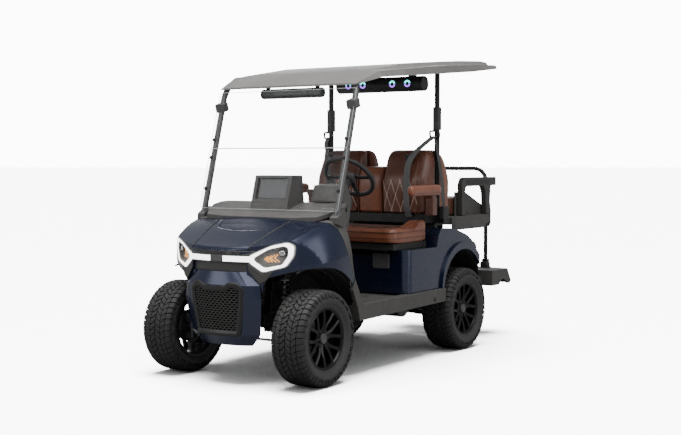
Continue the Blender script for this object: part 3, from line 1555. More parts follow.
@dataclass
class Hood(Assembly):
    """Hood panel: the crown of the nose, a rounded front lip, and a field stepped down behind a brow."""

    face: NoseFace = field(default_factory=NoseFace)
    # sections from the front axle: y, half width and height of the shoulder, height of the crown
    sections: tuple[tuple[float, float, float, float], ...] = (
        (-.317, .365, .765, .785), (-.137, .420, .838, .858), (.043, .478, .905, .935), (.223, .505, .948, .975),
        (.373, .520, .965, .992))
    front_corner: tuple[float, float] = (.2065, -.240)
    rear_corner: tuple[float, float] = (.2665, .0965)
    lip: float = .7825
    lip_round: float = .016
    wall: float = .006
    crease: float = math.radians(50)
    step: float = .010
    step_width: float = .016
    fade_length: float = .08
    brow_line: tuple[float, float] = (-.047, .036)
    field_half: tuple[float, float] = (.185, .262)
    seam: float = .0042
    rows: int = 110
    columns: int = 121

    def height(self, x: Array, y: Array) -> Array:
        """Height of the nose's crown over x and y.

        The shoulder and crown come from polynomials through the sections, and between the two
        shoulders the height follows a circle through the shoulders and the crown.
        """
        s = np.array(self.sections)
        wide, low, top = (self.through(s[:, 0], s[:, k], y - FRONT_AXLE) for k in (1, 2, 3))
        rise = top - low
        radius = (wide**2 + rise**2) / (2 * rise)
        return top - radius + np.sqrt(radius**2 - x**2)

    @staticmethod
    def through(at: Array, value: Array, where: Array) -> Array:
        """The polynomial of lowest degree that passes through the given values.

        Args:
            at, value: places and the values there.
            where: places that are asked for.

        Returns:
            The values there.
        """
        middle = at.mean()
        return np.polyval(np.polyfit(at - middle, value, len(at) - 1), where - middle)

    def field_depth(self, x: Array, y: Array) -> Array:
        """How far the field is stepped down: a smooth step past the brow's arc and inside its sides."""
        brow, rear = FRONT_AXLE + self.brow_line[0], FRONT_AXLE + self.rear_corner[1]
        line = brow - self.brow_line[1] * (1 - (x / self.field_half[0]) ** 2)
        behind = np.clip((y - line) / self.step_width, 0, 1)
        inside = np.clip((np.interp(y, [brow, rear], self.field_half) - np.abs(x)) / self.step_width, 0, 1)
        fade = np.clip((rear - y) / self.fade_length, 0, 1)
        return self.step * eased(behind) * eased(inside) * (.35 + .65 * fade)

    def top(self) -> Array:
        """The hood's outer face as a grid of points, from the front lip to its rear edge."""
        across = np.linspace(-1, 1, self.columns)[None, :]
        y_front, y_rear = FRONT_AXLE + self.front_corner[1], FRONT_AXLE + self.rear_corner[1]
        nose = self.face.at(xyz(across * self.front_corner[0], 0.0), 0.0)[..., 1]
        y = nose + (y_rear - nose) * np.linspace(0, 1, self.rows)[:, None]
        x = across * np.interp(y, [y_front, y_rear], [self.front_corner[0], self.rear_corner[0]])
        lip = self.lip_round * .8 * rolled(y - nose, self.lip_round)
        return xyz(x, y, self.height(x, y) - lip - self.field_depth(x, y))

    def build(self) -> None:
        """Make the hood with its walls turned down at the edges, and the seams beside it."""
        top = self.top()
        lip = [top[:1] * [1, 1, 0] + [0, 0, level] for level in (self.lip, self.lip + .004)]
        panel = object_of("hood_panel", skin(np.concatenate([*lip, top])), SMOOTH)
        panel.data.set_sharp_from_angle(angle=self.crease)
        add_modifier(panel, "wall", "SOLIDIFY", thickness=self.wall, offset=-1.0)
        add_modifier(panel, "edge", "BEVEL", width=1.5 * MM, segments=2, angle_limit=self.crease)
        self.shop.dress(panel, "body_paint", "paint_navy", replaces=["hood"])
        seam = carried(even_line(top[:, -1] + [.0016, 0, -.0002], 90), circle(self.seam, 8))
        self.shop.piece("hood_seams", seam.both_sides(), "grille_black", "plastic_black", SMOOTH)


# ---------------------------------------------------------------- seats
def side_inset(share: Array, half: float, roundness: float) -> Array:
    """How far the rounded side of a lobe has drawn in, at a share of the way from its middle.

    It is three quarters of the roundness times 1 less (1 - e**2.5)**0.4, where e runs from 0 to 1
    over the last part of the way.

    Args:
        share: way from the middle to each side, from -1 to 1.
        half: half width of the lobe.
        roundness: length of the rounded part.

    Returns:
        The inset, of the shape of share.
    """
    e = np.clip((np.abs(share) * half - (half - roundness)) / roundness, 0, 1)
    return roundness * .75 * (1 - (1 - e**2.5) ** .4)


def soft_ends(half: float, count: int, roundness: float, section: Array, centre: Array, power: float = 2.4
              ) -> tuple[Array, Array]:
    """Stations along a line with sections drawn towards their centre at both ends, like a bolster.

    The share of the full section is the superellipse (1 - e**power) ** (1 / power), where e runs from 0
    to 1 over the last part of the way to each end.

    Args:
        half: half length.
        count: stations.
        roundness: length of the rounded part at each end.
        section: shape (n, 2).
        centre: what the ends shrink towards.
        power: how boxy the rounding is.

    Returns:
        The stations and their sections.
    """
    turn = np.linspace(-np.pi / 2, np.pi / 2, count)
    xs = half * np.sign(np.sin(turn)) * np.abs(np.sin(turn)) ** .9
    e = np.clip((np.abs(xs) - (half - roundness)) / roundness, 0, 1)
    share = np.maximum(1 - e**power, 0.0) ** (1 / power)
    depth = roundness / np.maximum(np.abs(section - centre).max(), roundness)
    scale = 1 - (1 - share) * min(1.0, depth * 1.2)
    return xs, centre + (section[None] - centre) * scale[:, None, None]


@dataclass
class FrontCushion(Assembly):
    """Front cushion: a wide pad with a rolled front edge, raised rear corners, piping and quilting."""

    corner: float = .070
    roll: float = .030
    back_roll: float = .022
    side_roll: float = .028
    side_drop: float = .026
    bolster_wide: float = .150
    flat_level: float = .861
    bolster_rise: float = .05
    bolster_depth: tuple[float, float] = (.58, .78)  # shares of the depth where it starts and is full
    dish: float = .010
    sitter: tuple[float, float] = (.46, .26)  # middle and width of a dish, as shares of the half width
    bulge: float = .006
    piping: float = .0032
    bolster_piping: float = .0026

    def __post_init__(self) -> None:
        """Take its limits from the frame's cushion."""
        low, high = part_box("front_cushion")
        self.half = high.x - .003
        self.y0, self.y1 = low.y + .002, high.y - .002
        self.z0, self.z1 = low.z + .001, self.flat_level
        self.bolster = high.z - self.z1 - .002
        self.bolster_line = self.half - self.bolster_wide

    def top(self, x: Array, share: Array) -> Array:
        """Height of the cushion's face at a place across and a share of its depth.

        Two shallow dishes for the sitters, a raised middle, and bolsters that rise over the last
        part of the depth at both sides.
        """
        (middle, width), (start, full) = self.sitter, self.bolster_depth
        across = np.exp(-((np.abs(x) / self.half - middle) / width) ** 2)
        dip = self.dish * np.sin(np.pi * np.clip(share, 0, 1)) * across
        side = eased(np.clip((np.abs(x) - self.bolster_line) / self.bolster_rise, 0, 1))
        rear = eased(np.clip((share - start) / (full - start), 0, 1))
        return self.z1 - dip + self.bolster * side * rear

    def share(self, y: Array) -> Array:
        """Share of the cushion's depth at a place along Y."""
        return (y - self.y0) / (self.y1 - self.y0)

    def cover(self) -> Shape:
        """The pad: across it a row of closed sections, each with a wall, a face and a wall."""
        u = np.linspace(-1, 1, 60)
        xs = self.half * np.sign(u) * (1 - (1 - np.abs(u)) ** 1.25)
        side = self.half - np.abs(xs)
        inset = self.corner * rolled(side, self.corner, .999)
        front, back = (self.y0 + inset)[:, None], (self.y1 - inset)[:, None]
        depth = np.linspace(0, 1, 44)
        y = front + (back - front) * depth
        drop = (self.roll * rolled(y - front, self.roll) + self.back_roll * rolled(back - y, self.back_roll)
                + self.side_drop * rolled(side, self.side_roll)[:, None])
        z = self.top(xs[:, None], depth) - drop - .002
        wall = np.linspace(0, 1, 7)[1:-1]
        front_wall = xyz(front + .002 - self.bulge * np.sin(np.pi * wall), self.z0 + (z[:, :1] - self.z0) * wall)
        back_wall = xyz(back - .002, self.z0 + (z[:, -1:] - self.z0) * wall[::-1])
        feet = xyz(front + .004, self.z0), xyz(back - .004, self.z0)
        return lofted(xs, np.concatenate([feet[0], front_wall, xyz(y, z), back_wall, feet[1]], axis=1))

    def piping_line(self, level: float, out: float) -> Shape:
        """A piping line round the front and both sides at a height, a little outside the cover."""
        corner, half, front = self.corner, self.half, self.y0 - .003 - out
        arc = np.linspace(-np.pi / 2, 0, 8)
        turn = xyz(half - corner + corner * np.cos(arc), front + corner + corner * np.sin(arc))
        line = np.vstack([[0.0, front], [half - corner - .05, front], turn, [half + .0005, self.y0 + .20],
                          [half + .0005, self.y1 - .078]])
        both = np.vstack([line[::-1] * [-1, 1], line[1:]])
        return carried(placed(even_line(both, 120), 2, level), circle(self.piping, 8))

    def bolster_edge(self, sign: float) -> Shape:
        """The piping line where a bolster rises from the face."""
        line, rear, front = self.bolster_line, self.y1 - .018, self.y1 - .255
        flat = smooth_line([(line - .012, rear), (line - .012, front + .07), (line + .03, front + .015),
                            (self.half - .03, front)], 40)
        height = self.top(flat[:, 0], self.share(flat[:, 1])) - .0015
        return carried(placed(flat * [sign, 1], 2, height), circle(self.bolster_piping, 8))

    def quilt(self) -> Shape:
        """The quilted field between the bolsters, just over the face."""
        half = self.bolster_line - .03
        x = np.linspace(-half, half, 50)[:, None]
        y = np.linspace(self.y1 - .215, self.y1 - .03, 16)[None, :]
        return skin(xyz(x, y, self.top(x, self.share(y)) + .0014))

    def build(self) -> None:
        """Make the cushion, its piping and its quilted field."""
        shop, body = self.shop, "front_seat"
        shop.pad("front_cushion_cover", self.cover(), "saddle_leather", body, ["front_cushion"],
                 Rounding(Edge.SUBDIVIDED, steps=1))
        lines = joined(self.piping_line(*at) for at in ((self.z1 - .024, .0005), (self.z0 + .036, .0015)))
        shop.piece("front_cushion_piping", lines, "piping_leather", "leather_brown", SMOOTH, body)
        for name, sign in (("right", -1.0), ("left", 1.0)):
            shop.piece(f"bolster_piping_{name}", self.bolster_edge(sign), "piping_leather", "leather_brown", SMOOTH,
                       body)
        shop.pad("front_cushion_quilt", self.quilt(), "quilted_leather", body, rounding=SMOOTH)


@dataclass
class Backrest(Assembly):
    """A backrest: two lobes, a lower centre panel, piping and a quilted field on each lobe."""

    name: str
    way: float  # -1 for the seat that faces forward, 1 for the one that faces back
    mid: float = (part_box("rear_posts")[0].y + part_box("rear_posts")[1].y) / 2
    shoulder: float = .085
    # the face from its foot up: distance ahead of the middle between the seats, and height
    profile: Outline = (
        (.165, .935), (.172, 1.010), (.180, 1.100), (.178, 1.160), (.165, 1.205), (.140, 1.255), (.113, 1.316),
        (.084, 1.353), (.052, 1.369))
    lobe_sides: tuple[float, float] = (.094, .449)
    lobe_round: float = .060
    lobe_crown: float = .012
    centre_half: float = .099
    # piping: distance from the middle plane, height over the face, height of its end
    piping: tuple[Point, ...] = ((.0925, -.0035, 1.262), (.366, .0015, 1.30))
    piping_radius: float = .0034
    # quilted field: its range from the middle plane, its range of height, its lift and the height of its diamonds
    field_x: tuple[float, float] = (.112, .385)
    field_z: tuple[float, float] = (.948, 1.168)
    field_lift: float = -.0022
    diamond_height: float = .0022
    diamond: tuple[float, float] = (.075, .155)
    stitch: float = .16

    def lobe(self, x_in: float, x_out: float, front: Array, thick: Array, crown: float, roundness: float,
             columns: int) -> Shape:
        """A stuffed lobe between two X stations.

        At each station the face is moved out by the crown, and the whole outline shrinks towards
        its middle near both sides. An outer lobe also falls away at its shoulder.

        Args:
            x_in, x_out: its sides.
            front: (y, z) points up the middle of its face.
            thick: depth of the lobe behind each of them.
            crown: how much its face swells over its sides.
            roundness: length of the rounding at its sides.
            columns: stations across.

        Returns:
            The closed lobe.
        """
        share = np.linspace(-1, 1, columns)
        share = np.sign(share) * np.abs(share) ** .8
        half = (x_out - x_in) / 2
        xs = (x_in + x_out) / 2 + share * half
        outline = np.vstack([front, (front + xyz(thick, 0.0))[::-1]])
        middle = outline.mean(axis=0)
        span = np.abs(outline - middle).max(axis=0)
        scale = 1 - side_inset(share, half, roundness)[:, None, None] / span
        sections = middle + (outline - middle) * scale
        if x_in > 0:
            drop = self.shoulder * rolled(x_out - xs, self.shoulder, .995)
            high = np.clip((outline[:, 1] - outline[:, 1].min()) / np.ptp(outline[:, 1]), 0, 1) ** 3
            sections[..., 1] -= drop[:, None] * high
        swell = -np.sign(thick[0]) * crown * (1 - share**2)
        sections[:, :len(front), 0] += swell[:, None]
        return lofted(xs, sections)

    def quilt(self, face: Array) -> Shape:
        """The quilted lower part of a lobe, laid just over its face."""
        x, z = np.linspace(*self.field_x, 44)[:, None], np.linspace(*self.field_z, 36)[None, :]
        centre, half = sum(self.lobe_sides) / 2, (self.lobe_sides[1] - self.lobe_sides[0]) / 2
        share = (x - centre) / half
        swell = self.lobe_crown * (1 - share**2) - side_inset(share, half, self.lobe_round)
        lift = self.field_lift + swell + self.diamond_height * self.diamonds(x, z)
        return skin(xyz(x, self.mid + self.way * (np.interp(z, face[:, 1], face[:, 0]) + lift), z))

    def diamonds(self, x: Array, z: Array) -> Array:
        """Height of the quilt: 1 in the middle of a diamond and 0 along its stitching."""
        a, b = (x / self.diamond[0] + sign * z / self.diamond[1] for sign in (1, -1))
        line = np.minimum(np.abs(a - np.round(a)), np.abs(b - np.round(b))) * 2
        return 1 - np.exp(-(line / self.stitch) ** 2)

    def build(self) -> None:
        """Make the lobes, the centre, the piping and the quilting."""
        shop, mid, way = self.shop, self.mid, self.way
        face = smooth_line(self.profile, 22)
        front = xyz(mid + way * (face[:, 0] - .004), face[:, 1] - .002)
        lobe = self.lobe(*self.lobe_sides, front, -way * (face[:, 0] - .026), self.lobe_crown, self.lobe_round, 18)
        shop.pad(f"{self.name}_back_lobes", lobe.both_sides(), "saddle_leather" if way > 0 else "shade_leather",
                 replaces=[f"{self.name}_backrest"])
        low = smooth_line(self.profile[:6], 16)
        centre = self.lobe(-self.centre_half, self.centre_half, xyz(mid + way * (low[:, 0] - .010), low[:, 1]),
                           -way * (low[:, 0] - .034), .006, .016, 12)
        shop.pad(f"{self.name}_back_centre", centre, "saddle_leather")
        tubes = []
        for x, lift, end in self.piping:
            path = xyz(x, mid + way * (face[:, 0] + lift), face[:, 1])
            line = smooth_line(path[face[:, 1] < end], 60)
            tubes.append(carried(line, circle(self.piping_radius, 8), (1, 0, 0)).both_sides())
        shop.piece(f"{self.name}_back_piping", joined(tubes), "piping_leather", "leather_brown", SMOOTH)
        shop.pad(f"{self.name}_back_quilt", self.quilt(face).both_sides(), "quilted_leather",
                 rounding=Rounding(Edge.SUBDIVIDED, steps=1))


@dataclass
class RearCushion(Assembly):
    """Rear cushion: a boxed pad with rolled edges and a piping line."""

    roundness: float = .045
    piping: float = .003

    def build(self) -> None:
        """Make the cushion and its piping."""
        low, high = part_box("rear_cushion")
        half = high.x - .004
        y0, y1, z0, z1 = low.y + .002, high.y - .004, low.z + .001, high.z - .004
        outline = [(y0, z0), (y0 - .001, z0 + .04), (y0, z1 - .012), (y0 + .03, z1 - .001), ((y0 + y1) / 2, z1 + .002),
                   (y1 - .05, z1 - .002), (y1 - .012, z1 - .018), (y1 + .001, z1 - .055), (y1 - .002, z0 + .03),
                   (y1 - .008, z0)]
        section = even_loop(smooth_line(outline, 40), 44)
        cover = lofted(*soft_ends(half, 40, self.roundness, section, section.mean(axis=0)))
        self.shop.pad("rear_cushion_cover", cover, "shade_leather", replaces=["rear_cushion"])
        rim = np.array([(half - .002, y0 + .03), (half - .002, y1 - .06), (half - .055, y1), (0, y1 + .002)])
        both = np.vstack([rim, rim[-2::-1] * [-1, 1]])
        line = carried(placed(smooth_line(both, 100), 2, z1 - .030), circle(self.piping, 8))
        self.shop.piece("rear_cushion_piping", line, "piping_leather", "leather_brown", SMOOTH)


@dataclass
class Armrest(Assembly):
    """An armrest: a rounded pad with a thin piping line along each lower side."""

    side: str
    corner: float = .028
    roundness: float = .040
    piping: float = .0022

    def build(self) -> None:
        """Make the pad and its piping."""
        name = f"armrest_{self.side}"
        low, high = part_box(name)
        wide, tall = high.x - low.x - .003, high.z - low.z + .004
        x, y, z = (high.x + low.x) / 2, (high.y + low.y) / 2, (high.z + low.z) / 2 + .0035
        along, sections = soft_ends((high.y - low.y - .004) / 2, 26, self.roundness,
                                    oblong(wide, tall, self.corner), np.zeros(2), 2.2)
        cover = solid([placed(section + [x, z], 1, y + way) for way, section in zip(along, sections)])
        self.shop.pad(f"{name}_cover", cover, "saddle_leather", name, [name])
        run = np.linspace(low.y + .028, high.y - .028, 20)
        tubes = joined(carried(xyz(x + way * (wide / 2 - .0005), run, low.z + .020), circle(self.piping, 8))
                       for way in (-1.0, 1.0))
        self.shop.piece(f"{name}_piping", tubes, "piping_leather", "leather_brown", SMOOTH, name)


# ---------------------------------------------------------------- cabin
def bolt(at: Point, way: Sequence[float], radius: float, thick: float) -> Shape:
    """A domed bolt head.

    Args:
        at: middle of its foot.
        way: direction of its axis.
        radius, thick: its size.

    Returns:
        The closed head.
    """
    axis = np.array(way, float) / np.linalg.norm(way)
    path = np.array(at) + axis * np.array([[.0], [.6], [.9], [1.0]]) * thick
    sizes = np.array([1.0, 1.0, .85, .5])[:, None, None] * circle(radius, 20)
    return carried(path, sizes, (1, 0, 0) if abs(axis[0]) < .9 else (0, 0, 1))


def bar(start: Point, end: Point, profile: Array, up: Sequence[float] = (0, 1, 0)) -> Shape:
    """A straight bar between two points.

    Args:
        start, end: middles of its ends.
        profile: its section, shape (n, 2).
        up: direction that the profile's second axis keeps nearest to.

    Returns:
        The closed bar.
    """
    return carried(np.array([start, end]), profile, up)


@dataclass
class Windshield(Assembly):
    """Two clear panes with a bright joint between them, edge lines, bolts and top clips."""

    foot: tuple[float, float] = (FRONT_AXLE + .205, .9603)
    lean: float = math.radians(15.7)
    joint: float = 1.370
    edge: float = .0017
    # bolts and clips: distance from the middle plane and height
    bolts: Outline = ((.505, 1.119), (.505, 1.314), (.505, 1.425), (.485, 1.640))
    clip: tuple[float, float] = (.503, 1.637)

    def front(self, z: Array | float) -> Array | float:
        """y of the panes' front at a height."""
        return self.foot[0] + (z - self.foot[1]) * math.tan(self.lean) - .0265

    def build(self) -> None:
        """Make the panes and their fittings."""
        panes = node_copy("windshield_panes", "windshield", Rounding(width=.6 * MM, steps=1))
        self.shop.dress(panes, "screen_glass", "glass_clear")
        low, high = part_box("windshield")
        lines = []
        for bottom, top in ((low.z + .003, self.joint - .0015), (self.joint + .0015, high.z - .003)):
            line = rounded(box_outline(high.x - .002, bottom, top), .015, 3)
            lines.append(carried(placed(line, 1, self.front(line[:, 1])), circle(self.edge, 6), (0, 1, 0), True))
        self.shop.piece("windshield_edges", joined(lines), "edge_light", "glass_clear", SMOOTH)
        way = (0, -math.cos(self.lean), math.sin(self.lean))
        heads = joined(bolt((side * x, self.front(z) + .001, z), way, .012, .007)
                       for x, z in self.bolts for side in (-1, 1))
        self.shop.piece("windshield_bolts", heads, "frame_black", "frame_black", Rounding(Edge.SHARP, past=50))
        x, z = self.clip
        y = self.front(z)
        clips = joined(bar((side * x, y - .010, z - .012), (side * x, y + .044, z + .004), oblong(.062, .056, .008),
                           (0, 0, 1)) for side in (-1, 1))
        self.shop.piece("windshield_clips", clips, "cap_grey", "frame_black", Rounding(width=1 * MM))


@dataclass
class Mirror(Assembly):
    """Wide mirror under the roof: a glossy black case with rounded ends, its face and two brackets."""

    end: float = .03
    case: tuple[float, float] = (.034, .062)
    bracket: float = .19

    def build(self) -> None:
        """Make the mirror."""
        low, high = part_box("mirror_bar")
        y, half, z = (low.y + high.y) / 2, high.x, low.z + .031
        turn = np.linspace(-np.pi / 2, np.pi / 2, 25)
        xs = np.sign(turn) * (half - self.end + self.end * np.abs(np.sin(turn)))
        share = np.clip((np.abs(xs) - (half - self.end)) / self.end, 0, 1)
        size = np.maximum(1 - share**2.2, .04) ** .5
        case = lofted(xs, oblong(*self.case, .014, 4) * size[:, None, None] + [y, z])
        self.shop.piece("mirror_case", case, "projector_black", "plastic_black", SMOOTH, replaces=["mirror_bar"])
        face = rounded(box_outline(half - .02, z - .024, z + .024), .02)
        self.shop.piece("mirror_glass", solid([placed(face, 1, y + out) for out in (.010, .0172)]), "mirror_face",
                        "glass_clear")
        arms = joined(bar((x, y, z + .02), (x, y + .004, high.z), oblong(.028, .016, .005))
                      for x in (-self.bracket, self.bracket))
        self.shop.piece("mirror_brackets", arms, "frame_black", "frame_black", Rounding(width=1.5 * MM))


@dataclass
class SteeringWheel(Assembly):
    """Steering wheel: a padded rim with thumb swells, three flat spokes and a hub pad."""

    centre: Point = (.290, FRONT_AXLE + .667, 1.193)
    tilt: float = math.radians(45)
    radius: float = .160
    tube: float = .0148
    thumb_swell: float = .10
    thumb_width: float = .22
    flatness: float = .93
    spokes: tuple[float, ...] = (0.0, math.pi, -math.pi / 2)
    # a spoke's stations along it: half width, and height over the wheel's plane
    spoke_half: Outline = ((.03, .025), (.07, .015), (.12, .0125), (.152, .019))
    spoke_height: Outline = ((.03, .004), (.09, -.006), (.152, -.002))
    spoke_thick: float = .006
    # the pad's rings: radius and height over the wheel's plane
    pad: Outline = ((.046, -.030), (.050, -.010), (.049, .004), (.044, .011), (.030, .014), (.006, .015))
    # the direction lever's points and its sizes, from the wheel's centre
    lever: tuple[Point, ...] = ((-.035, -.055, -.052), (-.085, -.050, -.040), (-.150, -.040, -.025))
    lever_radius: float = .0055

    def place(self, x: Array | float, v: Array | float, w: Array | float) -> Array:
        """Points of the wheel's plane in the row frame.

        Args:
            x: way to the left.
            v: way up the wheel.
            w: way out of its plane, to the driver.

        Returns:
            The points, with one more axis than the places.
        """
        c, s = math.cos(self.tilt), math.sin(self.tilt)
        return xyz(self.centre[0] + x, self.centre[1] - v * c + w * s, self.centre[2] + v * s + w * c)

    def rim(self) -> Shape:
        """A ring whose tube swells where the thumbs lie."""
        turn = np.linspace(0, 2 * np.pi, 96, endpoint=False)[:, None]
        around = np.linspace(0, 2 * np.pi, 16, endpoint=False)[None, :]
        swell = 1 + self.thumb_swell * np.exp(-((np.sin(turn) / self.thumb_width) ** 2))
        r = self.radius + self.tube * swell * np.cos(around)
        height = self.tube * self.flatness * swell * np.sin(around)
        return skin(self.place(r * np.cos(turn), r * np.sin(turn), height), close_rows=True, close_columns=True)

    def spoke(self, angle: float) -> Shape:
        """A flat spoke with rounded edges, wider at both ends."""
        run = np.linspace(self.spoke_half[0][0], self.spoke_half[-1][0], 9)
        half, lift = (np.interp(run, *zip(*stations)) for stations in (self.spoke_half, self.spoke_height))
        side = xyz(half, half * .8, -half * .8, -half, -half * .8, half * .8)
        height = lift[:, None] + np.array([0, 1, 1, 0, -1, -1]) * self.spoke_thick
        along, c, s = run[:, None], math.cos(angle), math.sin(angle)
        return solid(self.place(along * c - side * s, along * s + side * c, height))

    def build(self) -> None:
        """Make the rim, the spokes, the pad and the direction lever."""
        body = "steering_wheel"
        self.shop.piece("steering_rim", self.rim(), "grip_leather", "plastic_black", SMOOTH, body, [body])
        self.shop.piece("steering_spokes", joined(self.spoke(angle) for angle in self.spokes), "black_plastic",
                        "plastic_black", Rounding(width=2 * MM), body)
        pad = solid([self.place(*(circle(radius, 32) * [1, .86]).T, height) for radius, height in self.pad])
        self.shop.piece("steering_pad", pad, "mask_plastic", "plastic_black", SMOOTH, body)
        line = smooth_line(np.array(self.lever) + self.centre, 16)
        size = np.interp(np.arange(16), [0, 10, 11, 14, 15], [.8, .7, 1.3, 1.3, .8])
        lever = carried(line, circle(self.lever_radius, 12) * size[:, None, None])
        self.shop.piece("direction_lever", lever, "black_plastic", "plastic_black", SMOOTH)


@dataclass
class CabinTrim(Assembly):
    """Display, dash switches, floor mat, charge plate, latch, pedals and sill plugs."""

    dash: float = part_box("dash_panel")[1].y
    switches: tuple[float, ...] = (.20, .232, -.20, -.232, -.264)
    mat_half: float = .470
    mat_top: float = .4362
    # pedals: distance from the middle plane and width
    pedals: Outline = ((.165, .048), (.300, .075))
    plug_at: Point = (.5755, REAR_AXLE - .430, .384)

    def build(self) -> None:
        """Make the fittings."""
        self.displays()
        key = np.array(box_outline(.012, self.dash - .002, self.dash + .008))
        switches = joined(solid([placed(key + [x, 0], 2, z) for z in (.860, .880)]) for x in self.switches)
        self.shop.piece("dash_switches", switches, "black_plastic", "plastic_black", Rounding(width=2.5 * MM))
        self.mat()
        self.box_front()
        pedals = joined(bar((x, FRONT_AXLE + .46, .455), (x, FRONT_AXLE + .425, .560), oblong(wide, .014, .005))
                        for x, wide in self.pedals)
        self.shop.piece("pedals", pedals, "black_plastic", "plastic_black", Rounding(width=2 * MM))
        for name, sign in SIDES.items():
            plug = bolt((sign * self.plug_at[0], *self.plug_at[1:]), (sign, 0, 0), .014, .004)
            self.shop.piece(f"sill_plug_{name}", plug, "frame_black", "steel")

    def displays(self) -> None:
        """Make the two glossy screens of the dash, each leaning with its housing."""
        ring = rounded(box_outline(.106, 0, 1), .012, 3)
        y, z = (np.interp(ring[:, 1], [0, 1], ends)
                for ends in ((FRONT_AXLE + .252, FRONT_AXLE + .282), (1.065, 1.181)))
        self.shop.piece("display_front", solid([xyz(ring[:, 0], y + push, z) for push in (.0, -.006)]), "display",
                        "plastic_black")
        ring = rounded(box_outline(.112, 1.060, 1.186), .012, 3)
        y = FRONT_AXLE + np.interp(ring[:, 1], [1.02, 1.204], [.010, -.008])
        self.shop.piece("display_rear", solid([placed(ring, 1, y + out) for out in (.372, .388)]), "display",
                        "plastic_black")

    def mat(self) -> None:
        """Make the floor mat with its line and ribs."""
        start, end = FRONT_AXLE + .425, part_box("front_cushion")[0].y + .055
        border = rounded(box_outline(self.mat_half, start + .02, end - .03), .03)
        mat = solid([placed(drawn_in(border, inset), 2, z) for inset, z in ((0, .4322), (0, .4345), (.0015, .4360))])
        self.shop.piece("floor_mat", mat, "floor_rubber", "plastic_black")
        line = carried(placed(drawn_in(border, .018), 2, self.mat_top), circle(.002, 6), closed=True)
        self.shop.piece("floor_mat_line", line, "cap_grey", "plastic_dark", SMOOTH)
        ribs = joined(bar((x, start + .08, self.mat_top), (x, end - .09, self.mat_top), oblong(.016, .0035, .0016),
                          (0, 0, 1)) for x in np.linspace(-.40, .40, 17))
        self.shop.piece("floor_mat_ribs", ribs, "floor_rubber", "plastic_black")

    def box_front(self) -> None:
        """Make the charge plate and the latch on the front of the box under the seat."""
        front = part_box("rear_body")[0].y
        for name, corners, radius, side, out, finish in (
                ("charge_plate", ((.287, .600), (.410, .600), (.410, .698), (.287, .698)), .012, .004, .006,
                 "cap_grey"),
                ("box_latch", ((.287, .709), (.396, .709), (.390, .730), (.293, .730)), .006, .009, .012,
                 "black_plastic")):
            line = rounded(corners, radius, 3)
            plate = solid([placed(line, 1, front + .002), placed(line, 1, front - side),
                           placed(drawn_in(line, .003), 1, front - out)])
            self.shop.piece(name, plate, finish, "plastic_dark")


@dataclass
class SoundBar(Assembly):
    """Additions to the sound bar under the roof: its end caps, cones and two-tone rings."""

    cones: tuple[float, ...] = (-.24, -.12, .12, .24)
    cap: Outline = ((-.008, .002), (-.008, .046), (-.003, .050), (.004, .050), (.004, .002))
    cone: float = .031
    ring: float = .0185
    ring_tube: float = .0058
    bulge: float = .0545

    def build(self) -> None:
        """Make the end caps, the rings and the cones."""
        low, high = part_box("sound_bar")
        y, z = (low.y + high.y) / 2, low.z + .052
        caps = turned(self.cap, (high.x, y, z), 1, 40)
        self.shop.piece("sound_bar_caps", caps.both_sides(), "mask_plastic", "plastic_black", Rounding(width=1 * MM))
        for name, start in (("ring_cyan", .05), ("ring_violet", 1.05)):
            turn = np.linspace(start, start + .9, 24) * np.pi
            across, up = self.ring * np.cos(turn), self.ring * np.sin(turn)
            rings = joined(carried(xyz(x + across, y - np.sqrt(self.bulge**2 - up**2), z + up),
                                   circle(self.ring_tube, 8), (0, 1, 0)) for x in self.cones)
            self.shop.piece(f"sound_bar_{name}s", rings, name, "plastic_black", SMOOTH)
        rims = np.array([1.0, 1.0, .7])[:, None, None] * circle(self.cone, 28)
        cones = joined(carried(xyz(x, y - np.array([.046, .0525, .0535]), z), rims) for x in self.cones)
        self.shop.piece("sound_bar_cones", cones, "liner_plastic", "plastic_black", Rounding(width=1 * MM))


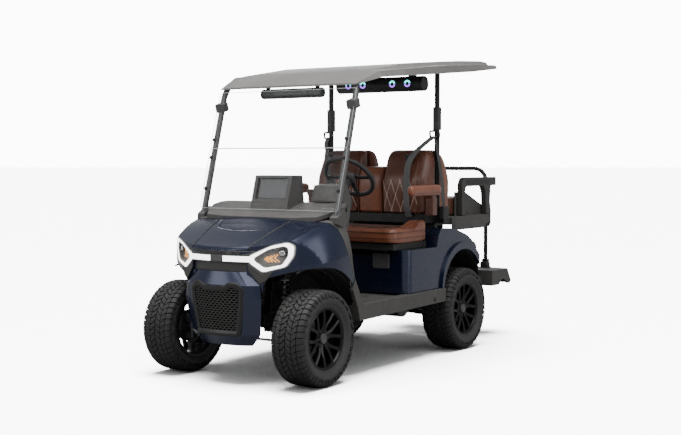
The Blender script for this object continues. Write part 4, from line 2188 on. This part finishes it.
@dataclass
class Belts(Assembly):
    """Lap-and-shoulder belts: sleeves and rings on the rear posts, webbing down to boxes by the seat.

    Points of the webbing are from the middle of a post: outwards, back, and up from the ground.
    """

    post: float = .434
    width: float = .042
    thick: float = .0018
    shoulder_line: tuple[Point, ...] = (
        (.0, -.040, 1.458), (-.030, -.110, 1.410), (-.085, -.170, 1.335), (-.112, -.202, 1.250),
        (-.120, -.205, 1.100), (-.120, -.200, .990), (-.118, -.170, .915))
    return_line: tuple[Point, ...] = (
        (.004, -.030, 1.452), (.030, -.026, 1.300), (.052, -.018, 1.130), (.058, -.008, .975))

    def strap(self, name: str, points: Array, across: Point, finish: str) -> None:
        """A flat webbing strap along a curve, with UVs in metres for the weave.

        Args:
            name: what the strap is called.
            points: what its middle line runs through.
            across: direction of its width.
            finish: name of its material.
        """
        line = smooth_line(points, 48)
        wide = np.broadcast_to(np.array(across, float) / np.linalg.norm(across), line.shape)
        thick = np.cross(np.gradient(line, axis=0), wide)
        thick /= np.linalg.norm(thick, axis=1)[:, None]
        half, deep = self.width / 2, self.thick / 2
        front = [(share * half, -deep) for share in (-1, -.5, 0, .5, 1)]
        corners = np.array(front + [(a, deep) for a, _ in reversed(front)])
        obj = object_of(name, solid(np.stack([line + a * wide + b * thick for a, b in corners], axis=1)),
                        Rounding(Edge.SHARP, past=60))
        uv = obj.data.uv_layers.new(name="UVMap")
        index = np.zeros(len(obj.data.loops), np.int32)
        obj.data.loops.foreach_get("vertex_index", index)
        flat = xyz(corners[None, :, 0] + half, length_along(line)[:, None]).reshape(-1, 2)
        uv.data.foreach_set("uv", flat[index].ravel())
        self.shop.dress(obj, finish, "frame_black")

    def build(self) -> None:
        """Make both belts and their fittings."""
        low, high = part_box("rear_posts")
        y = (low.y + high.y) / 2
        sleeves, rings, boxes = [], [], []
        for side, sign in (("right", -1.0), ("left", 1.0)):
            x = sign * self.post
            sleeves.append(bar((x, y, 1.50), (x, y, 1.655), oblong(.046, .050, .010)))
            across, up = oblong(.072, .046, .016).T
            rings.append(carried(xyz(x + across, y - .034 - up * .25, 1.470 + up), circle(.0070, 10), (0, 1, 0), True))
            boxes.append(bar((x + sign * .058, y - .005, .900), (x + sign * .058, y - .005, .985),
                             oblong(.040, .075, .008)))
            boxes.append(bar((x - sign * .115, y - .165, 1.285), (x - sign * .127, y - .172, 1.335),
                             oblong(.056, .016, .006)))
            self.strap(f"belt_shoulder_{side}", np.array(self.shoulder_line) * [sign, 1, 1] + [x, y, 0],
                       (1, .35 * sign, 0), "belt_grey")
            self.strap(f"belt_return_{side}", np.array(self.return_line) * [sign, 1, 1] + [x, y, 0], (0, 1, 0),
                       "belt_black")
        self.shop.piece("belt_sleeves", joined(sleeves), "mask_plastic", "plastic_black", Rounding(width=3 * MM))
        self.shop.piece("belt_rings", joined(rings), "projector_black", "steel", SMOOTH)
        self.shop.piece("belt_boxes", joined(boxes), "black_plastic", "plastic_black", Rounding(width=3 * MM))


# ---------------------------------------------------------------- running gear and rear
@dataclass
class FrontGear(Assembly):
    """Coil-over shocks, brake hoses and ribs of the wheel-arch liners."""

    shock_x: float = .277
    coil: float = .030
    wire: float = .0048
    turns: float = 8.5
    rib_radius: float = .396
    rib_places: tuple[float, ...] = (.375, .455)
    # a hose's points: distance from the middle plane, way behind the front axle, height
    hose: tuple[Point, ...] = ((.22, .03, .420), (.30, .075, .400), (.36, .070, .330), (.400, .045, .300))

    def build(self) -> None:
        """Make the shocks, the ribs and the hoses."""
        low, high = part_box("front_shocks")
        start, end = low.z + .075, high.z - .020
        t = np.linspace(0, 1, int(self.turns * 24))
        angle = 2 * np.pi * self.turns * t
        path = xyz(self.shock_x + self.coil * np.cos(angle), FRONT_AXLE + self.coil * np.sin(angle),
                   start + (end - start) * t)
        self.shop.piece("shock_springs", carried(path, circle(self.wire, 8)).both_sides(), "frame_black", "shock_red",
                        SMOOTH)
        stations = ((low.z, .012), (low.z + .05, .012), (low.z + .052, .034), (start - .004, .034),
                    (start - .003, .021), (start + .16, .021), (start + .162, .010), (end + .002, .010),
                    (end + .003, .034), (high.z - .008, .034), (high.z - .006, .014), (high.z, .014))
        body = solid([placed(circle(radius, 24) + [self.shock_x, FRONT_AXLE], 2, z) for z, radius in stations])
        self.shop.piece("shock_bodies", body.both_sides(), "cast_grey", "steel", Rounding(width=.8 * MM, past=40),
                        replaces=["front_shocks"])
        turn, radius = np.radians(np.linspace(72, 145, 40)), self.rib_radius
        ribs = joined(carried(xyz(x, FRONT_AXLE - radius * np.cos(turn), AXLE_Z + radius * np.sin(turn)),
                              oblong(.010, .006, .002), (1, 0, 0)) for x in self.rib_places)
        self.shop.piece("liner_ribs", ribs.both_sides(), "liner_plastic", "plastic_black", SMOOTH)
        line = smooth_line(np.array(self.hose) + [0, FRONT_AXLE, 0], 24)
        hoses = joined(carried(line * [sign, 1, 1], circle(.0045, 8)) for sign in (-1.0, 1.0))
        self.shop.piece("brake_hoses", hoses, "black_plastic", "plastic_black", SMOOTH)


@dataclass
class RearFittings(Assembly):
    """Grab handles, tail lamps, step dots, hoop feet, mud flaps and deck ribs."""

    deck_half: float = .455
    handle: float = .044
    lamp_at: tuple[float, float] = (.470, .682)
    dot: float = .0085

    @staticmethod
    def plate(corners: Sequence[Sequence[float]], radius: float, x_out: float, x_in: float, edge: float) -> Shape:
        """A plate across X with rounded corners and a chamfered outer edge.

        Args:
            corners: its outline in Y and Z.
            radius: rounding of its corners.
            x_out, x_in: its outer and inner faces.
            edge: width of its chamfer.

        Returns:
            The closed plate.
        """
        ring = rounded(corners, radius)
        levels = ((ring, x_in), (ring, x_out - edge), (drawn_in(ring, edge), x_out))
        return solid([placed(line, 0, x) for line, x in levels])

    def build(self) -> None:
        """Make the fittings."""
        self.handles()
        self.tail_lamps()
        self.step()
        y = REAR_AXLE + .300
        flap = self.plate([(y, .470), (y + .030, .470), (y + .018, .330), (y, .330)], .006, .530, .380, .003)
        self.shop.piece("mud_flaps", flap.both_sides(), "liner_plastic", "plastic_black")
        ribs = joined(carried(xyz(x, np.array([REAR_AXLE + .50, REAR_AXLE + .62]), .9115), oblong(.050, .004, .0018))
                      for x in (-.12, 0.0, .12))
        self.shop.piece("deck_ribs", ribs, "trim_plastic", "plastic_dark")

    def handles(self) -> None:
        """Make the grab handles and the inlays in their sides."""
        ra, half = REAR_AXLE, self.deck_half
        low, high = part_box("grab_handles")
        top, foot = high.z, low.z
        outer = ((ra + .173, foot), (ra + .173, top - .045), (ra + .205, top), (ra + .697, top),
                 (ra + .697, top - .062), (ra + .613, top - .062), (ra + .601, foot + .095), (ra + .623, foot),
                 (ra + .545, foot), (ra + .532, foot + .155), (ra + .502, top - .062), (ra + .237, top - .062),
                 (ra + .217, top - .084), (ra + .217, foot))
        line, inside = rounded(outer, .012, 3), half - self.handle
        edge = drawn_in(line, .005)
        shell = solid([placed(edge, 0, inside), placed(line, 0, inside + .005), placed(line, 0, half - .005),
                       placed(edge, 0, half)])
        self.shop.piece("grab_handle_shells", shell.both_sides(), "mask_plastic", "plastic_dark",
                        replaces=["grab_handles"])
        inlay = self.plate(((ra + .232, top - .050), (ra + .585, top - .050), (ra + .585, top - .016),
                            (ra + .222, top - .016)), .008, half + .0012, half - .002, .001)
        self.shop.piece("grab_handle_inlays", inlay.both_sides(), "black_plastic", "plastic_black")

    def tail_lamps(self) -> None:
        """Make the rims of the tail lamps and their red domes."""
        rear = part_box("tail_lamps")[1].y - .006
        for name, radius, push, finish, slot, replaces in (
                ("rims", .047, .0, "cap_grey", "plastic_dark", ["tail_lamps"]),
                ("lenses", .038, .006, "lamp_red", "lamp_red", [])):
            levels = ((1.0, -.030), (1.0, push), (.92, .004 + push), (.55, .007 + push), (.1, .008 + push))
            lamp = solid([placed(circle(radius * share, 36) + self.lamp_at, 1, rear + out) for share, out in levels])
            self.shop.piece(f"tail_lamp_{name}", lamp.both_sides(), finish, slot, SMOOTH, replaces=replaces)

    def step(self) -> None:
        """Make the grip dots of the step and the feet of the hoop that stands on it."""
        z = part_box("rear_step")[1].z
        xs, ys = np.meshgrid(np.linspace(-.215, .215, 16), np.linspace(REAR_AXLE + .680, REAR_AXLE + .845, 7))
        dot = circle(self.dot, 12)
        dots = joined(solid([placed(dot * share + at, 2, z + rise) for share, rise in ((1.0, -.001), (.8, .0016))])
                      for at in zip(xs.ravel(), ys.ravel()))
        self.shop.piece("step_dots", dots, "trim_plastic", "plastic_dark")
        foot, y = oblong(.062, .056, .010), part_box("grab_hoop")[0].y + .015
        feet = joined(solid([placed(foot * share + [x, y], 2, z + rise)
                             for share, rise in ((1.0, .0), (1.0, .030), (.82, .042))]) for x in (-.29, .29))
        self.shop.piece("hoop_feet", feet, "black_plastic", "frame_black", Rounding(width=3 * MM))


# ---------------------------------------------------------------- studio and camera
@dataclass
class Studio(Assembly):
    """Pale floor, soft lamps, the surroundings and the camera."""

    camera_at: Point = (4.3851, -6.6965, 1.2995)
    camera_turn: float = -0.59110676
    camera_pitch: float = -0.04859339
    lens: float = 62.78
    floor_size: float = 400.0
    ambient: float = 0.38
    backdrop: float = 12.0
    # soft lamps: name, place, target, size, power
    lamps: tuple[tuple[str, Point, Point, tuple[float, float], float], ...] = (
        ("key_overhead", (1.0, -1.5, 5.0), (0, -0.2, 0.6), (4.0, 6.0), 250.0),
        ("side_left", (6.5, 0.0, 3.0), (0, 0, 0.8), (2.0, 6.0), 90.0),
        ("front_fill", (-3.5, -6.5, 3.0), (0, -0.8, 0.8), (3.0, 3.0), 70.0),
        ("back_rim", (-4.0, 5.5, 3.5), (0, 0.5, 1.2), (4.0, 2.0), 120.0),
        ("front_strip", (-1.5, -7.0, 4.2), (0, -1.2, 0.9), (5.0, 0.5), 38.0),
    )

    def camera(self) -> None:
        """Place the camera: level horizon, pitched and then turned about Z."""
        data = bpy.data.cameras.new("camera")
        data.lens, data.sensor_width = self.lens, 36.0
        data.clip_start, data.clip_end = 0.1, 200.0
        camera = linked("camera", data)
        camera.location = self.camera_at
        camera.rotation_euler = (math.pi / 2 + self.camera_pitch, 0.0, -self.camera_turn)
        bpy.context.scene.camera = camera

    @staticmethod
    def lamp(name: str, at: Point, target: Point, size: tuple[float, float], power: float) -> None:
        """A rectangular soft lamp.

        Args:
            name: what it is called.
            at, target: where it is and what it is aimed at.
            size: its two sides.
            power: its power in watts.
        """
        data = bpy.data.lights.new(name, "AREA")
        data.shape = "RECTANGLE"
        data.size, data.size_y = size
        data.energy = power
        lamp = linked(name, data)
        lamp.location = at
        lamp.rotation_euler = (Vector(target) - Vector(at)).to_track_quat("-Z", "Y").to_euler()

    @staticmethod
    def sky(name: str, power: float, spread: float, turn: tuple[float, float] = (0, 0)) -> bpy.types.Object:
        """A wide soft sun.

        Args:
            name: what it is called.
            power: its strength.
            spread: how wide it looks, in degrees.
            turn: its turns about X and Y, in degrees.

        Returns:
            The lamp.
        """
        data = bpy.data.lights.new(name, "SUN")
        data.energy, data.angle = power, math.radians(spread)
        sun = linked(name, data)
        sun.rotation_euler = (math.radians(turn[0]), math.radians(turn[1]), 0)
        return sun

    def surroundings(self) -> None:
        """Light the scene evenly, and show the camera a brighter backdrop."""
        world = bpy.data.worlds.new("studio")
        world.use_nodes = True
        world.node_tree.nodes.clear()
        g = Graph(world.node_tree)
        level = g.span(g.node("LightPath").outputs["Is Camera Ray"], 0.0, 1.0, self.ambient, self.backdrop)
        backdrop = g.node("Background", {"Color": (0.97, 0.98, 1.0, 1.0), "Strength": level})
        g.node("OutputWorld", {"Surface": backdrop.outputs[0]})
        bpy.context.scene.world = world

    def build(self) -> None:
        """Make the camera, the floor, the lamps and the surroundings."""
        self.camera()
        corners = placed(np.array(box_outline(1.0, -1.0, 1.0)) * self.floor_size / 2, 2, 0.0)
        floor = object_of("studio_floor", Shape(corners, [(0, 1, 2, 3)]), SMOOTH)
        floor.data.materials.append(self.shop.materials["studio_floor"])
        for lamp in self.lamps:
            self.lamp(*lamp)
        self.sky("sky", 2.2, 50.0, (8.0, -6.0))
        only = bpy.data.collections.new("floor_only")
        only.objects.link(floor)
        self.sky("floor_sky", 29.0, 40.0).light_linking.receiver_collection = only
        self.surroundings()


def main() -> None:
    """Build every sub-assembly in order."""
    logging.basicConfig(level=logging.INFO, format="%(name)s: %(message)s", force=True)
    shop = Workshop()
    wheels = [kind(shop, corner) for corner in Corner for kind in (Tyre, Rim)]
    seats = [FrontCushion(shop), Backrest(shop, "front", -1.0), Backrest(shop, "rear", 1.0), RearCushion(shop),
             Armrest(shop, "left"), Armrest(shop, "right")]
    nose = [kind(shop) for kind in (Lamps, NoseTrim, Grille, Hood)]
    cabin = [kind(shop) for kind in (Windshield, Mirror, SteeringWheel, CabinTrim, SoundBar, Belts)]
    for part in (Studio(shop), FramePanels(shop), *wheels, *nose, *seats, *cabin, FrontGear(shop),
                 RearFittings(shop)):
        part.build()


if __name__ == "__main__":
    main()
